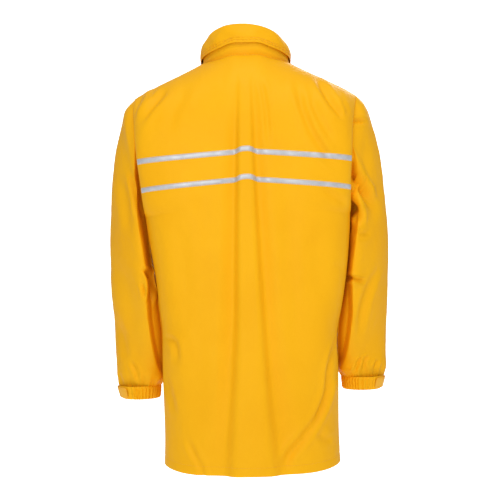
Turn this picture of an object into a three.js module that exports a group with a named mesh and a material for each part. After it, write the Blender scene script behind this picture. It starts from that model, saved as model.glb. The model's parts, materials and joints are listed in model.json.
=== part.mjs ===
// A foul-weather jacket: a hip-length rain jacket of coated fabric, with its hood rolled inside the collar.
// Millimetres, +Z up. The wearer faces -Y and the wearer's left side is +X.
// Heights are counted from the hem, and the whole jacket is lowered at the end, so that the origin
// lies between the two shoulder points, where the wearer's shoulders carry it.
import * as THREE from 'three';

// ---------------------------------------------------------------- driving dimensions

const CLOTH = 1.3;
const SEAM_GAP = 0.6;

const SHOULDER_HEIGHT = 729;
const SHOULDER_HALF_WIDTH = 220;
const ARMPIT_HEIGHT = 500;
const ARMHOLE_BACK_DEPTH = 70;
const ARMHOLE_FRONT_DEPTH = 75;
const FRONT_DEPTH = 125;
const BODY_SQUARENESS = 2.4;

const NECK_HALF_WIDTH = 87;
const NECK_HALF_DEPTH = 90;
const NECK_CENTRE_Y = -35;
const NECK_BACK_HEIGHT = 815;
const NECK_SIDE_HEIGHT = 802;
const NECK_FRONT_HEIGHT = 722;
const NECK_FRONT_SQUARENESS = 2.3;
const COLLAR_BACK_TOP = 874;
const COLLAR_SIDE_TOP = 836;
const COLLAR_FRONT_TOP = 798;
const COLLAR_BACK_BULK = 24;
const COLLAR_FRONT_BULK = 8;

const TAPE_WIDTH = 10;
const LOWER_TAPE = { centre: 565, edge: 547.5 };
const UPPER_TAPE = { centre: 618, edge: 603 };

const CUFF_TOP = 162.5;
const CUFF_HEIGHT = 26;
const CUFF_CENTRE_Y = -53;

const FRONT_EDGE = 9;
const ZIP_BOTTOM = 20;
const ZIP_TOP = 794;
const SLIDER_LENGTH = 20;
const SLIDER_CENTRE = 776;
const FLAP_INNER_Y = -130.8;
const FLAP_THICKNESS = 1.5;
const FLAP_HINGE_X = 40;
const FLAP_FREE_X = -42;
const FLAP_BOTTOM = 12;
const FLAP_TOP = 792;
const SNAP_X = -30;
const SNAP_COUNT = 6;
const SNAP_FIRST_HEIGHT = 70;
const SNAP_SPACING = 126;

const POCKET = { near: 0.36, far: 0.88, bottom: 120, mouth: 285, lift: 12 };
const POCKET_FLAP = { near: 0.345, far: 0.895, top: 303, bottom: 238, lift: 15 };

// Half width of the body at the side seam, then at the armhole edge, by height.
const halfWidth = through([
  [0, 176], [60, 174], [180, 175], [270, 173.5], [320, 180], [380, 189], [440, 196.5],
  [ARMPIT_HEIGHT, 203], [560, 204.5], [614, 209], [680, 214], [SHOULDER_HEIGHT, SHOULDER_HALF_WIDTH],
]);

// How far the back stands behind the side seams along the centre line, by height.
const backDepth = through([[0, 128], [130, 124], [270, 119], [400, 118], [520, 122], [628, 126]]);

// Rows of the body's cloth, from the hem to the yoke: each has a height at the centre and at the edge.
const LEVEL_ROWS = [
  [0, 0], [70, 70], [140, 140], [205, 205], [270, 270], [330, 330], [390, 390], [453, 450],
  [512, ARMPIT_HEIGHT], [536, 521],
  [LOWER_TAPE.centre, LOWER_TAPE.edge],
  [LOWER_TAPE.centre + TAPE_WIDTH, LOWER_TAPE.edge + TAPE_WIDTH],
  [UPPER_TAPE.centre, UPPER_TAPE.edge],
  [UPPER_TAPE.centre + TAPE_WIDTH, UPPER_TAPE.edge + TAPE_WIDTH],
];
const YOKE_ROW = LEVEL_ROWS[LEVEL_ROWS.length - 1];
const YOKE_STEPS = 6;

// The left sleeve as sections from the armhole to the cuff: outer point, inner point, middle and half depth.
const SLEEVE_SECTIONS = [
  { outer: [214, 723], inner: [199, 509], y: -2.5, depth: 66 },
  { outer: [229, 722], inner: [206, 505], y: -3, depth: 68 },
  { outer: [248, 692], inner: [207, 486], y: -6, depth: 74 },
  { outer: [264, 620], inner: [200.5, 452], y: -13, depth: 83 },
  { outer: [276, 530], inner: [193.5, 406], y: -23, depth: 90 },
  { outer: [281, 440], inner: [187, 360], y: -33, depth: 91 },
  { outer: [281, 355], inner: [180, 314], y: -42, depth: 87 },
  { outer: [279, 280], inner: [175, 262], y: -48, depth: 78 },
  { outer: [276, 215], inner: [176, 208], y: -52, depth: 66 },
  { outer: [272, 163], inner: [184, 163], y: CUFF_CENTRE_Y, depth: 52 },
];

// ---------------------------------------------------------------- materials

const coatedCloth = material(0xf9b71e, 0.55, 0);
const paleCloth = material(0xf7bc3f, 0.6, 0);
const liningCloth = material(0xe9a51c, 0.7, 0);
const reflectiveTape = material(0xd2d4da, 0.4, 0);
const elasticBand = material(0xe8e4d8, 0.8, 0);
const zipCloth = material(0xd9981a, 0.8, 0);
const zipMetal = material(0xa9abad, 0.35, 1);
const snapMetal = material(0xb7b9bb, 0.3, 1);
const hookAndLoop = material(0xe3a41f, 0.95, 0);

function material(color, roughness, metalness) {
  return new THREE.MeshStandardMaterial({ color, roughness, metalness });
}

// ---------------------------------------------------------------- small maths

function lerp(a, b, t) {
  return a + (b - a) * t;
}

function clamp01(value) {
  return Math.min(1, Math.max(0, value));
}

function smoothstep(value) {
  const t = clamp01(value);
  return t * t * (3 - 2 * t);
}

// A quantity that runs smoothly through [position, value] stops.
function through(stops) {
  const last = stops.length - 1;
  const slope = (n) => {
    const before = stops[Math.max(n - 1, 0)];
    const after = stops[Math.min(n + 1, last)];
    return (after[1] - before[1]) / (after[0] - before[0]);
  };
  return (position) => {
    let k = 0;
    while (k < last - 1 && position > stops[k + 1][0]) k += 1;
    const span = stops[k + 1][0] - stops[k][0];
    const t = clamp01((position - stops[k][0]) / span);
    const bend = t * t * (3 - 2 * t);
    const start = slope(k) * span * (t * t * t - 2 * t * t + t);
    const end = slope(k + 1) * span * (t * t * t - t * t);
    return lerp(stops[k][1], stops[k + 1][1], bend) + start + end;
  };
}

// The other coordinate of a rounded section whose half width is 1: it falls from 1 to 0.
function rounded(width, squareness) {
  return Math.pow(1 - Math.pow(Math.min(Math.abs(width), 1), squareness), 1 / squareness);
}

// ---------------------------------------------------------------- mesh builders

function geometryFrom(points, faces) {
  const geometry = new THREE.BufferGeometry();
  geometry.setAttribute('position', new THREE.Float32BufferAttribute(points.flatMap((p) => p.toArray()), 3));
  geometry.setIndex(faces);
  geometry.computeVertexNormals();
  return geometry;
}

// The outward normals of a grid of points, by differences along its rows and columns.
function gridNormals(grid, turn) {
  return grid.map((row, j) => row.map((point, i) => {
    const along = new THREE.Vector3().subVectors(row[Math.min(i + 1, row.length - 1)], row[Math.max(i - 1, 0)]);
    const above = grid[Math.min(j + 1, grid.length - 1)][i];
    const below = grid[Math.max(j - 1, 0)][i];
    const up = new THREE.Vector3().subVectors(above, below);
    return along.cross(up).normalize().multiplyScalar(turn);
  }));
}

// A closed sheet of cloth: the grid is its face, seen from outside with its columns running to the right
// (turn = 1) or to the left (turn = -1) and its rows running up, and its back lies one thickness behind.
function sheet(grid, thickness, turn) {
  const rows = grid.length;
  const columns = grid[0].length;
  const normals = gridNormals(grid, turn);
  const face = grid.flat();
  const back = grid.flatMap((row, j) => row.map((point, i) => (
    point.clone().addScaledVector(normals[j][i], -thickness))));
  const at = (layer, j, i) => layer * rows * columns + j * columns + i;
  const faces = [];
  const quad = (a, b, c, d) => {
    if (turn > 0) faces.push(a, b, c, a, c, d);
    else faces.push(a, c, b, a, d, c);
  };
  for (let j = 0; j < rows - 1; j += 1) {
    for (let i = 0; i < columns - 1; i += 1) {
      quad(at(0, j, i), at(0, j, i + 1), at(0, j + 1, i + 1), at(0, j + 1, i));
      quad(at(1, j, i), at(1, j + 1, i), at(1, j + 1, i + 1), at(1, j, i + 1));
    }
  }
  for (let i = 0; i < columns - 1; i += 1) {
    quad(at(0, 0, i), at(1, 0, i), at(1, 0, i + 1), at(0, 0, i + 1));
    quad(at(0, rows - 1, i), at(0, rows - 1, i + 1), at(1, rows - 1, i + 1), at(1, rows - 1, i));
  }
  for (let j = 0; j < rows - 1; j += 1) {
    quad(at(0, j, 0), at(0, j + 1, 0), at(1, j + 1, 0), at(1, j, 0));
    quad(at(0, j, columns - 1), at(1, j, columns - 1), at(1, j + 1, columns - 1), at(0, j + 1, columns - 1));
  }
  return geometryFrom([...face, ...back], faces);
}

// A solid through a row of closed sections with equal point counts. The points run anticlockwise
// seen from the far end. With ring = true the last section joins the first again.
function loft(sections, ring = false) {
  const count = sections[0].length;
  const faces = [];
  const joints = ring ? sections.length : sections.length - 1;
  for (let k = 0; k < joints; k += 1) {
    const here = k * count;
    const next = ((k + 1) % sections.length) * count;
    for (let i = 0; i < count; i += 1) {
      const j = (i + 1) % count;
      faces.push(here + i, here + j, next + j, here + i, next + j, next + i);
    }
  }
  if (!ring) {
    const last = (sections.length - 1) * count;
    for (let i = 0; i < count / 2 - 1; i += 1) {
      const j = count - 1 - i;
      faces.push(i, j, i + 1, i + 1, j, j - 1);
      faces.push(last + i, last + i + 1, last + j, last + i + 1, last + j - 1, last + j);
    }
  }
  return geometryFrom(sections.flat(), faces);
}

// A flat plate with round corners, in the XZ plane, its thickness running from y = 0 towards +Y.
function plate(width, height, thickness, radius, hole = null) {
  const x = width / 2 - radius;
  const z = height / 2 - radius;
  const shape = new THREE.Shape();
  shape.absarc(x, z, radius, 0, Math.PI / 2, false);
  shape.absarc(-x, z, radius, Math.PI / 2, Math.PI, false);
  shape.absarc(-x, -z, radius, Math.PI, 1.5 * Math.PI, false);
  shape.absarc(x, -z, radius, 1.5 * Math.PI, 2 * Math.PI, false);
  if (hole) {
    shape.holes.push(new THREE.Path().absarc(0, hole.z, hole.radius, 0, 2 * Math.PI, true));
  }
  const geometry = new THREE.ExtrudeGeometry(shape, { depth: thickness, bevelEnabled: false, curveSegments: 4 });
  geometry.rotateX(Math.PI / 2);
  geometry.translate(0, thickness, 0);
  return geometry;
}

// A turned piece whose axis points out of the cloth along -Y; the profile is [radius, height] pairs.
function turned(profile) {
  const points = profile.map(([radius, height]) => new THREE.Vector2(radius, height));
  const geometry = new THREE.LatheGeometry(points, 10);
  geometry.rotateX(Math.PI);
  return geometry;
}

function mesh(name, geometry, finish) {
  const piece = new THREE.Mesh(geometry, finish);
  piece.name = name;
  return piece;
}

function mirrored(grid) {
  return grid.map((row) => row.map((p) => new THREE.Vector3(-p.x, p.y, p.z)));
}

// ---------------------------------------------------------------- the body's surface

// The neck seam's point at a distance across from the centre line, on the back (side = 1) or front (-1).
function neckPoint(side, across) {
  const squareness = side > 0 ? 2 : NECK_FRONT_SQUARENESS;
  const reach = rounded(across / NECK_HALF_WIDTH, squareness);
  const z = side > 0
    ? lerp(NECK_SIDE_HEIGHT, NECK_BACK_HEIGHT, reach)
    : lerp(NECK_SIDE_HEIGHT, NECK_FRONT_HEIGHT, Math.pow(reach, 1.5));
  return { y: NECK_CENTRE_Y + side * NECK_HALF_DEPTH * reach, z };
}

// Where the body ends at the top: the neck seam, then the shoulder seam out to the shoulder point.
function topPoint(side, s) {
  const across = Math.abs(s) * SHOULDER_HALF_WIDTH;
  if (across <= NECK_HALF_WIDTH) return neckPoint(side, across);
  const t = (across - NECK_HALF_WIDTH) / (SHOULDER_HALF_WIDTH - NECK_HALF_WIDTH);
  return { y: lerp(NECK_CENTRE_Y, 0, t), z: lerp(NECK_SIDE_HEIGHT, SHOULDER_HEIGHT, t) };
}

// The armhole edge's distance from the side seam plane, by height.
function edgeDepth(side, height) {
  if (height <= ARMPIT_HEIGHT) return 0;
  const middle = (SHOULDER_HEIGHT + ARMPIT_HEIGHT) / 2;
  const reach = (SHOULDER_HEIGHT - ARMPIT_HEIGHT) / 2;
  const depth = side > 0 ? ARMHOLE_BACK_DEPTH : ARMHOLE_FRONT_DEPTH;
  return depth * rounded((height - middle) / reach, 2);
}

// A point of a level row, with s running from 0 at the centre line to 1 at the edge.
function levelPoint(side, s, centre, edge) {
  const middle = side > 0 ? backDepth(centre) : -FRONT_DEPTH;
  const rim = side * edgeDepth(side, edge);
  const y = rim + (middle - rim) * rounded(s, BODY_SQUARENESS);
  return new THREE.Vector3(s * halfWidth(edge), y, lerp(centre, edge, s * s));
}

// A point of the body's outer face. Row numbers past the level rows curve over the shoulder.
function bodyPoint(side, row, sAt) {
  const yokeStep = row - (LEVEL_ROWS.length - 1);
  if (yokeStep <= 0) {
    const [centre, edge] = LEVEL_ROWS[row];
    const point = levelPoint(side, sAt(halfWidth(edge)), centre, edge);
    point.y += side * SEAM_GAP;
    return point;
  }
  const rise = Math.sin((yokeStep / YOKE_STEPS) * Math.PI / 2);
  const edge = lerp(YOKE_ROW[1], SHOULDER_HEIGHT, rise);
  const s = sAt(halfWidth(edge));
  const base = levelPoint(side, s, ...YOKE_ROW);
  const top = topPoint(side, s);
  const overNeck = smoothstep(Math.abs(s) * SHOULDER_HALF_WIDTH / NECK_HALF_WIDTH);
  const forward = 1 - Math.pow(1 - rise * rise, lerp(1, 0.5, overNeck));
  const y = lerp(base.y, top.y, forward) + side * SEAM_GAP;
  return new THREE.Vector3(s * halfWidth(edge), y, lerp(base.z, top.z, rise));
}

// Column positions from a start at the centre (0) to the edge (1), crowded where the cloth turns:
// round the neck up to neckShare, then round the side.
function columns(neckShare, neckSteps, sideSteps) {
  const list = [];
  for (let k = 0; k < neckSteps; k += 1) {
    list.push(neckShare * Math.sin((k / neckSteps) * Math.PI / 2));
  }
  const first = Math.asin(neckShare);
  for (let k = 0; k <= sideSteps; k += 1) {
    list.push(Math.sin(lerp(first, Math.PI / 2, k / sideSteps)));
  }
  return list;
}

const ROW_COUNT = LEVEL_ROWS.length + YOKE_STEPS;
const BACK_HALF = columns(NECK_HALF_WIDTH / SHOULDER_HALF_WIDTH, 4, 7);
const BACK_COLUMNS = [...BACK_HALF.slice(1).map((q) => -q).reverse(), ...BACK_HALF];

function backPanel() {
  const grid = [];
  for (let row = 0; row < ROW_COUNT; row += 1) {
    grid.push(BACK_COLUMNS.map((q) => bodyPoint(1, row, () => q)));
  }
  return sheet(grid, CLOTH, -1);
}

function frontPanelGrid() {
  const neckShare = (NECK_HALF_WIDTH - FRONT_EDGE) / (SHOULDER_HALF_WIDTH - FRONT_EDGE);
  const across = columns(neckShare, 4, 7);
  const grid = [];
  for (let row = 0; row < ROW_COUNT; row += 1) {
    grid.push(across.map((q) => bodyPoint(-1, row, (half) => lerp(FRONT_EDGE, half, q) / half)));
  }
  return grid;
}

// A reflective tape sewn across the back, 0.5 mm proud of the cloth.
function backTape(tape) {
  const stop = 0.988;
  const start = LEVEL_ROWS.findIndex(([centre]) => centre === tape.centre);
  const grid = [start, start + 1].map((row) => (
    BACK_COLUMNS.map((q) => bodyPoint(1, row, () => Math.min(stop, Math.max(-stop, q))))));
  const normals = gridNormals(grid, -1);
  const raised = grid.map((row, j) => row.map((p, i) => p.clone().addScaledVector(normals[j][i], 0.9)));
  return sheet(raised, 0.4, -1);
}

// ---------------------------------------------------------------- sleeves and cuffs

function sleeveSection(outer, inner, y, depth, inset, count) {
  const middle = new THREE.Vector3((outer[0] + inner[0]) / 2, y, (outer[1] + inner[1]) / 2);
  const reach = new THREE.Vector3((outer[0] - inner[0]) / 2, 0, (outer[1] - inner[1]) / 2);
  const half = reach.length();
  reach.normalize();
  const points = [];
  for (let i = 0; i < count; i += 1) {
    const angle = (i / count) * 2 * Math.PI;
    const point = middle.clone().addScaledVector(reach, (half - inset) * Math.cos(angle));
    point.y += (depth - inset) * Math.sin(angle);
    points.push(point);
  }
  return points;
}

function sleeveLoops(inset) {
  const track = (pick) => through(SLEEVE_SECTIONS.map((section, k) => [k, pick(section)]));
  const outerX = track((section) => section.outer[0]);
  const outerZ = track((section) => section.outer[1]);
  const innerX = track((section) => section.inner[0]);
  const innerZ = track((section) => section.inner[1]);
  const y = track((section) => section.y);
  const depth = track((section) => section.depth);
  const loops = [];
  const steps = 14;
  for (let k = 0; k <= steps; k += 1) {
    const at = (k / steps) * (SLEEVE_SECTIONS.length - 1);
    const outer = [outerX(at), outerZ(at)];
    const inner = [innerX(at), innerZ(at)];
    loops.push(sleeveSection(outer, inner, y(at), depth(at), inset, 20));
  }
  return loops;
}

function sleeve(side) {
  const skin = [...sleeveLoops(0), ...sleeveLoops(CLOTH).reverse()];
  return loft(side > 0 ? skin.map((loop) => loop.reverse()) : mirrored(skin), true);
}

// A band round the wrist, from a profile of [inset, height above the cuff's lower edge] pairs. It is
// wider at its top than at its lower edge.
function cuffBand(side, profile, from = 0, sweep = 2 * Math.PI, steps = 24) {
  const full = sweep === 2 * Math.PI;
  const sections = [];
  for (let k = 0; k < (full ? steps : steps + 1); k += 1) {
    const angle = from + (k / steps) * sweep;
    const section = profile.map(([inset, height]) => {
      const rise = height / CUFF_HEIGHT;
      const x = lerp(225, 228, rise) + (lerp(38, 43.5, rise) - inset) * Math.cos(angle);
      const y = CUFF_CENTRE_Y + (lerp(45, 51, rise) - inset) * Math.sin(angle);
      return new THREE.Vector3(side * x, y, CUFF_TOP - CUFF_HEIGHT + height);
    });
    sections.push(side > 0 ? section : section.reverse());
  }
  return loft(sections, full);
}

// The casing is the sleeve's end turned up inside, so it is a channel that opens upwards.
function cuffCasing(side) {
  const top = CUFF_HEIGHT;
  const wall = CLOTH;
  const depth = 5.5;
  return cuffBand(side, [
    [0, top], [0, 0], [depth, 0], [depth, top], [depth - wall, top], [depth - wall, wall], [wall, wall], [wall, top],
  ]);
}

function cuffElastic(side) {
  return cuffBand(side, [[2, 23], [2, 3], [3.6, 3], [3.6, 23]]);
}

function cuffTab(side) {
  return cuffBand(side, [[-3.5, 24], [-3.5, 3], [-2.3, 3], [-2.3, 24]], -0.5, 1.5, 8);
}

function cuffLoopPatch(side) {
  return cuffBand(side, [[-1.5, 22], [-1.5, 5], [-0.5, 5], [-0.5, 22]], -0.3, 1.1, 6);
}

// ---------------------------------------------------------------- collar and hood

// Collar sections are [outward offset, height] pairs. The turn runs from 0 at the centre back to pi at the front.
function collarPoint(turn, offset, height) {
  const side = Math.cos(turn) >= 0 ? 1 : -1;
  const squareness = side > 0 ? 2 : NECK_FRONT_SQUARENESS;
  const power = 2 / squareness;
  const x = NECK_HALF_WIDTH * Math.pow(Math.abs(Math.sin(turn)), power) * Math.sign(Math.sin(turn));
  const y = NECK_CENTRE_Y + side * NECK_HALF_DEPTH * Math.pow(Math.abs(Math.cos(turn)), power);
  return new THREE.Vector3(x + offset * Math.sin(turn), y + offset * Math.cos(turn), height);
}

function neckHeight(turn) {
  const reach = Math.abs(Math.cos(turn));
  if (Math.cos(turn) >= 0) return lerp(NECK_SIDE_HEIGHT, NECK_BACK_HEIGHT, reach);
  const squared = Math.pow(reach, 2 / NECK_FRONT_SQUARENESS);
  return lerp(NECK_SIDE_HEIGHT, NECK_FRONT_HEIGHT, Math.pow(squared, 1.5));
}

function collarTop(turn) {
  const facing = Math.cos(turn);
  return facing >= 0
    ? lerp(COLLAR_SIDE_TOP, COLLAR_BACK_TOP, Math.pow(facing, 1.3))
    : lerp(COLLAR_SIDE_TOP, COLLAR_FRONT_TOP, smoothstep(-facing));
}

function collarBulk(turn) {
  return lerp(COLLAR_BACK_BULK, COLLAR_FRONT_BULK, smoothstep((Math.abs(turn) - 1.7) / 1.1));
}

// The upper band's lower edge: well above the neck seam at the centre back, and on it past the shoulders.
function bandEdge(turn) {
  const rise = 14 * Math.pow(Math.max(0, Math.cos(turn)), 1.5);
  return neckHeight(turn) + 7 + rise;
}

// Lofts a section round the neck. The section's points run anticlockwise seen from the wearer's right end.
function collarLoft(section, reach, steps) {
  const sections = [];
  for (let k = 0; k <= steps; k += 1) {
    const turn = lerp(-reach, reach, k / steps);
    sections.push(section(turn).map(([offset, height]) => collarPoint(turn, offset, height)));
  }
  return loft(sections);
}

const COLLAR_REACH = Math.PI - 0.075;
const LINING_REACH = Math.PI - 0.14;
const COLLAR_STEPS = 28;

function collarStand() {
  return collarLoft((turn) => {
    const low = neckHeight(turn) + 3;
    const high = collarTop(turn) - 10;
    return [[0, low], [0, high], [-CLOTH, high], [-CLOTH, low]];
  }, COLLAR_REACH, COLLAR_STEPS);
}

// The band runs up the outside, over the rim and a little way down the inside.
function collarUpperBand() {
  return collarLoft((turn) => {
    const top = collarTop(turn);
    const bulk = collarBulk(turn);
    const outside = 3;
    const inside = -bulk;
    const middle = (outside + inside) / 2;
    const face = [
      [outside, bandEdge(turn)], [outside, top - 9], [lerp(outside, middle, 0.35), top - 2.5], [middle, top],
      [lerp(inside, middle, 0.35), top - 2.5], [inside, top - 9], [inside, top - 20],
    ];
    const back = [
      [outside - CLOTH, bandEdge(turn)], [outside - CLOTH, top - 9.6],
      [lerp(outside, middle, 0.4), top - 2.5 - CLOTH], [middle, top - CLOTH],
      [lerp(inside, middle, 0.4), top - 2.5 - CLOTH], [inside + CLOTH, top - 9.6], [inside + CLOTH, top - 20],
    ];
    return [...face, ...back.reverse()];
  }, COLLAR_REACH, COLLAR_STEPS);
}

function collarLining() {
  return collarLoft((turn) => {
    const seam = neckHeight(turn);
    const inside = -collarBulk(turn);
    const top = collarTop(turn) - 21.2;
    const step = Math.min(8, -inside - 5);
    const face = [[inside, top], [inside, seam + 10], [inside + step, seam + 6], [-3.4, seam + 3.5]];
    const back = face.map(([offset, height]) => [offset + CLOTH * 0.8, Math.min(height + CLOTH * 0.6, top)]);
    return [...back.reverse(), ...face];
  }, LINING_REACH, COLLAR_STEPS);
}

function collarHookStrip() {
  const steps = 8;
  return collarLoft((turn) => {
    const low = bandEdge(turn) + 3;
    return [[1.2, low], [1.2, low + 12], [0.4, low + 12], [0.4, low]];
  }, COLLAR_REACH * steps / COLLAR_STEPS, steps);
}

// The hood, rolled up tight round the back and sides of the neck.
function rolledHood() {
  const reach = 1.95;
  return collarLoft((turn) => {
    const slim = 1 - 0.35 * smoothstep((Math.abs(turn) - 1.1) / 0.85);
    const low = neckHeight(turn) + 11;
    const high = collarTop(turn) - 8;
    const middle = -collarBulk(turn) / 2;
    const half = (collarBulk(turn) / 2 - 3) * slim;
    const centre = (low + high) / 2;
    const tall = (high - low) / 2;
    const points = [];
    for (let i = 0; i < 10; i += 1) {
      const angle = -((i + 0.5) / 10) * 2 * Math.PI;
      points.push([middle + half * Math.cos(angle), centre - tall * Math.sin(angle)]);
    }
    return points;
  }, reach, 20);
}

function hangerLoop() {
  const shape = new THREE.Shape();
  shape.moveTo(-34, 0);
  shape.quadraticCurveTo(-33, -22, -16, -24);
  shape.lineTo(16, -24);
  shape.quadraticCurveTo(33, -22, 34, 0);
  shape.lineTo(25, 0);
  shape.quadraticCurveTo(25, -15, 13, -16);
  shape.lineTo(-13, -16);
  shape.quadraticCurveTo(-25, -15, -25, 0);
  shape.closePath();
  const geometry = new THREE.ExtrudeGeometry(shape, { depth: 1.2, bevelEnabled: false, curveSegments: 5 });
  geometry.rotateX(Math.PI / 2);
  return geometry;
}

// ---------------------------------------------------------------- front closure

// One half of the zip: a woven tape whose inner edge carries the teeth as a thicker bead.
function zipTape(side) {
  const outline = [
    [1.3, -123.6], [4.5, -123.6], [4.5, -122.3], [13, -122.3], [13, -121.6], [4.5, -121.6], [4.5, -120.9], [1.3, -120.9],
  ];
  const shape = new THREE.Shape(outline.map(([x, y]) => new THREE.Vector2(side * x, y)));
  const geometry = new THREE.ExtrudeGeometry(shape, { depth: ZIP_TOP - ZIP_BOTTOM, bevelEnabled: false });
  geometry.translate(0, 0, ZIP_BOTTOM);
  return geometry;
}

// The slider's two plates joined by the post that parts the teeth.
function zipSlider() {
  const outline = [
    [-6, -127.6], [6, -127.6], [6, -124.3], [0.8, -124.3], [0.8, -120.4], [6, -120.4],
    [6, -119.3], [-6, -119.3], [-6, -120.4], [-0.8, -120.4], [-0.8, -124.3], [-6, -124.3],
  ];
  const shape = new THREE.Shape(outline.map(([x, y]) => new THREE.Vector2(x, y)));
  const geometry = new THREE.ExtrudeGeometry(shape, { depth: SLIDER_LENGTH, bevelEnabled: false });
  geometry.translate(0, 0, SLIDER_CENTRE - SLIDER_LENGTH / 2);
  return geometry;
}

function addZip(jacket) {
  jacket.add(mesh('zip_tape_left', zipTape(1), zipCloth));
  jacket.add(mesh('zip_tape_right', zipTape(-1), zipCloth));
  jacket.add(mesh('zip_slider', zipSlider(), zipMetal));

  const rivet = mesh('zip_pull_rivet', turned([[0, 0], [1.5, 0], [1.5, 1.9], [2.8, 1.9], [2.8, 2.4], [0, 2.4]]), zipMetal);
  rivet.position.set(0, -127.95, SLIDER_CENTRE + 4);
  jacket.add(rivet);

  const pullLength = 36;
  const hole = { z: pullLength / 2 - 4.5, radius: 2 };
  const pull = mesh('zip_pull', plate(8, pullLength, 1.2, 3.5, hole), zipMetal);
  pull.position.set(0, -129.5, SLIDER_CENTRE + 4 - hole.z);
  jacket.add(pull);

  const box = mesh('zip_box', plate(11, 11, 4, 1.5), zipMetal);
  box.position.set(0, -124.3, ZIP_BOTTOM - 6);
  jacket.add(box);
}

function addStormFlap(jacket) {
  const width = FLAP_HINGE_X - FLAP_FREE_X;
  const height = FLAP_TOP - FLAP_BOTTOM;
  const flap = mesh('storm_flap', plate(width, height, FLAP_THICKNESS, 9), coatedCloth);
  flap.position.set((FLAP_HINGE_X + FLAP_FREE_X) / 2, FLAP_INNER_Y - FLAP_THICKNESS, (FLAP_TOP + FLAP_BOTTOM) / 2);
  jacket.add(flap);

  const guardTop = 712;
  const guard = mesh('zip_guard', plate(52, guardTop - FLAP_BOTTOM, 1.2, 6), liningCloth);
  guard.position.set(-4, -118.8, (guardTop + FLAP_BOTTOM) / 2);
  jacket.add(guard);

  for (let k = 0; k < SNAP_COUNT; k += 1) {
    const height = SNAP_FIRST_HEIGHT + k * SNAP_SPACING;
    const cap = mesh(`flap_snap_cap_${k + 1}`, snapCap(), snapMetal);
    cap.position.set(SNAP_X, FLAP_INNER_Y - FLAP_THICKNESS - 0.35, height);
    jacket.add(cap);
    const stud = mesh(`flap_snap_stud_${k + 1}`, snapStud(4.4), snapMetal);
    stud.position.set(SNAP_X, -126, height);
    jacket.add(stud);
  }
}

function snapCap() {
  return turned([[0, 0], [7.5, 0], [7.5, 0.8], [6, 1.7], [0, 2]]);
}

function snapStud(height) {
  return turned([[0, 0], [6, 0], [6, 1], [2.6, 1], [2.6, height], [0, height]]);
}

// ---------------------------------------------------------------- front pockets

// A point on the front panel's face, and its outward direction in plan.
function frontFace(s, height) {
  const point = levelPoint(-1, s, height, height);
  const near = levelPoint(-1, s - 0.004, height, height);
  const far = levelPoint(-1, s + 0.004, height, height);
  const outward = new THREE.Vector3(far.y - near.y, near.x - far.x, 0).normalize();
  point.y -= SEAM_GAP;
  return { point, outward };
}

function frontFaceGrid(area, low, high, acrossSteps, upSteps, offsetAt) {
  const grid = [];
  for (let j = 0; j <= upSteps; j += 1) {
    const up = j / upSteps;
    const row = [];
    for (let i = 0; i <= acrossSteps; i += 1) {
      const across = i / acrossSteps;
      const { point, outward } = frontFace(lerp(area.near, area.far, across), lerp(low, high, up));
      row.push(point.addScaledVector(outward, offsetAt(across, up)));
    }
    grid.push(row);
  }
  return grid;
}

// A patch pocket: it lies on the front at its sides and foot, and stands off it at its open mouth.
function pocketGrid() {
  return frontFaceGrid(POCKET, POCKET.bottom, POCKET.mouth, 10, 6, (across, up) => {
    const full = Math.min(1, 2.6 * Math.sin(Math.PI * across)) * Math.min(1, 3 * up);
    return CLOTH + 1 + (POCKET.lift - CLOTH - 1) * full;
  });
}

function pocketFlapGrid() {
  return frontFaceGrid(POCKET_FLAP, POCKET_FLAP.bottom, POCKET_FLAP.top, 10, 5, (across, up) => (
    lerp(CLOTH + 1, POCKET_FLAP.lift + CLOTH, Math.min(1, 4.5 * (1 - up)))));
}

function addPockets(jacket) {
  const snap = frontFace(0.62, POCKET_FLAP.bottom + 14);
  for (const [side, word] of [[1, 'left'], [-1, 'right']]) {
    const place = (grid) => (side > 0 ? grid : mirrored(grid));
    jacket.add(mesh(`pocket_${word}`, sheet(place(pocketGrid()), CLOTH, side), coatedCloth));
    jacket.add(mesh(`pocket_flap_${word}`, sheet(place(pocketFlapGrid()), CLOTH, side), coatedCloth));
    const turn = side * Math.atan2(snap.outward.x, -snap.outward.y);
    const settings = [
      [`pocket_snap_stud_${word}`, snapStud(2.1), POCKET.lift + 0.4],
      [`pocket_snap_cap_${word}`, snapCap(), POCKET_FLAP.lift + CLOTH + 0.5],
    ];
    for (const [name, geometry, offset] of settings) {
      const piece = mesh(name, geometry, snapMetal);
      piece.position.copy(snap.point).addScaledVector(snap.outward, offset);
      piece.position.x *= side;
      piece.rotation.z = turn;
      jacket.add(piece);
    }
  }
}

// ---------------------------------------------------------------- the jacket

function addSleeves(jacket) {
  for (const [side, word] of [[1, 'left'], [-1, 'right']]) {
    jacket.add(mesh(`sleeve_${word}`, sleeve(side), coatedCloth));
    jacket.add(mesh(`cuff_casing_${word}`, cuffCasing(side), coatedCloth));
    jacket.add(mesh(`cuff_elastic_${word}`, cuffElastic(side), elasticBand));
    jacket.add(mesh(`cuff_tab_${word}`, cuffTab(side), paleCloth));
    jacket.add(mesh(`cuff_loop_patch_${word}`, cuffLoopPatch(side), hookAndLoop));
  }
}

function addBody(jacket) {
  jacket.add(mesh('back_panel', backPanel(), coatedCloth));
  jacket.add(mesh('front_panel_left', sheet(frontPanelGrid(), CLOTH, 1), coatedCloth));
  jacket.add(mesh('front_panel_right', sheet(mirrored(frontPanelGrid()), CLOTH, -1), coatedCloth));
  jacket.add(mesh('reflective_tape_upper', backTape(UPPER_TAPE), reflectiveTape));
  jacket.add(mesh('reflective_tape_lower', backTape(LOWER_TAPE), reflectiveTape));
}

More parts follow.
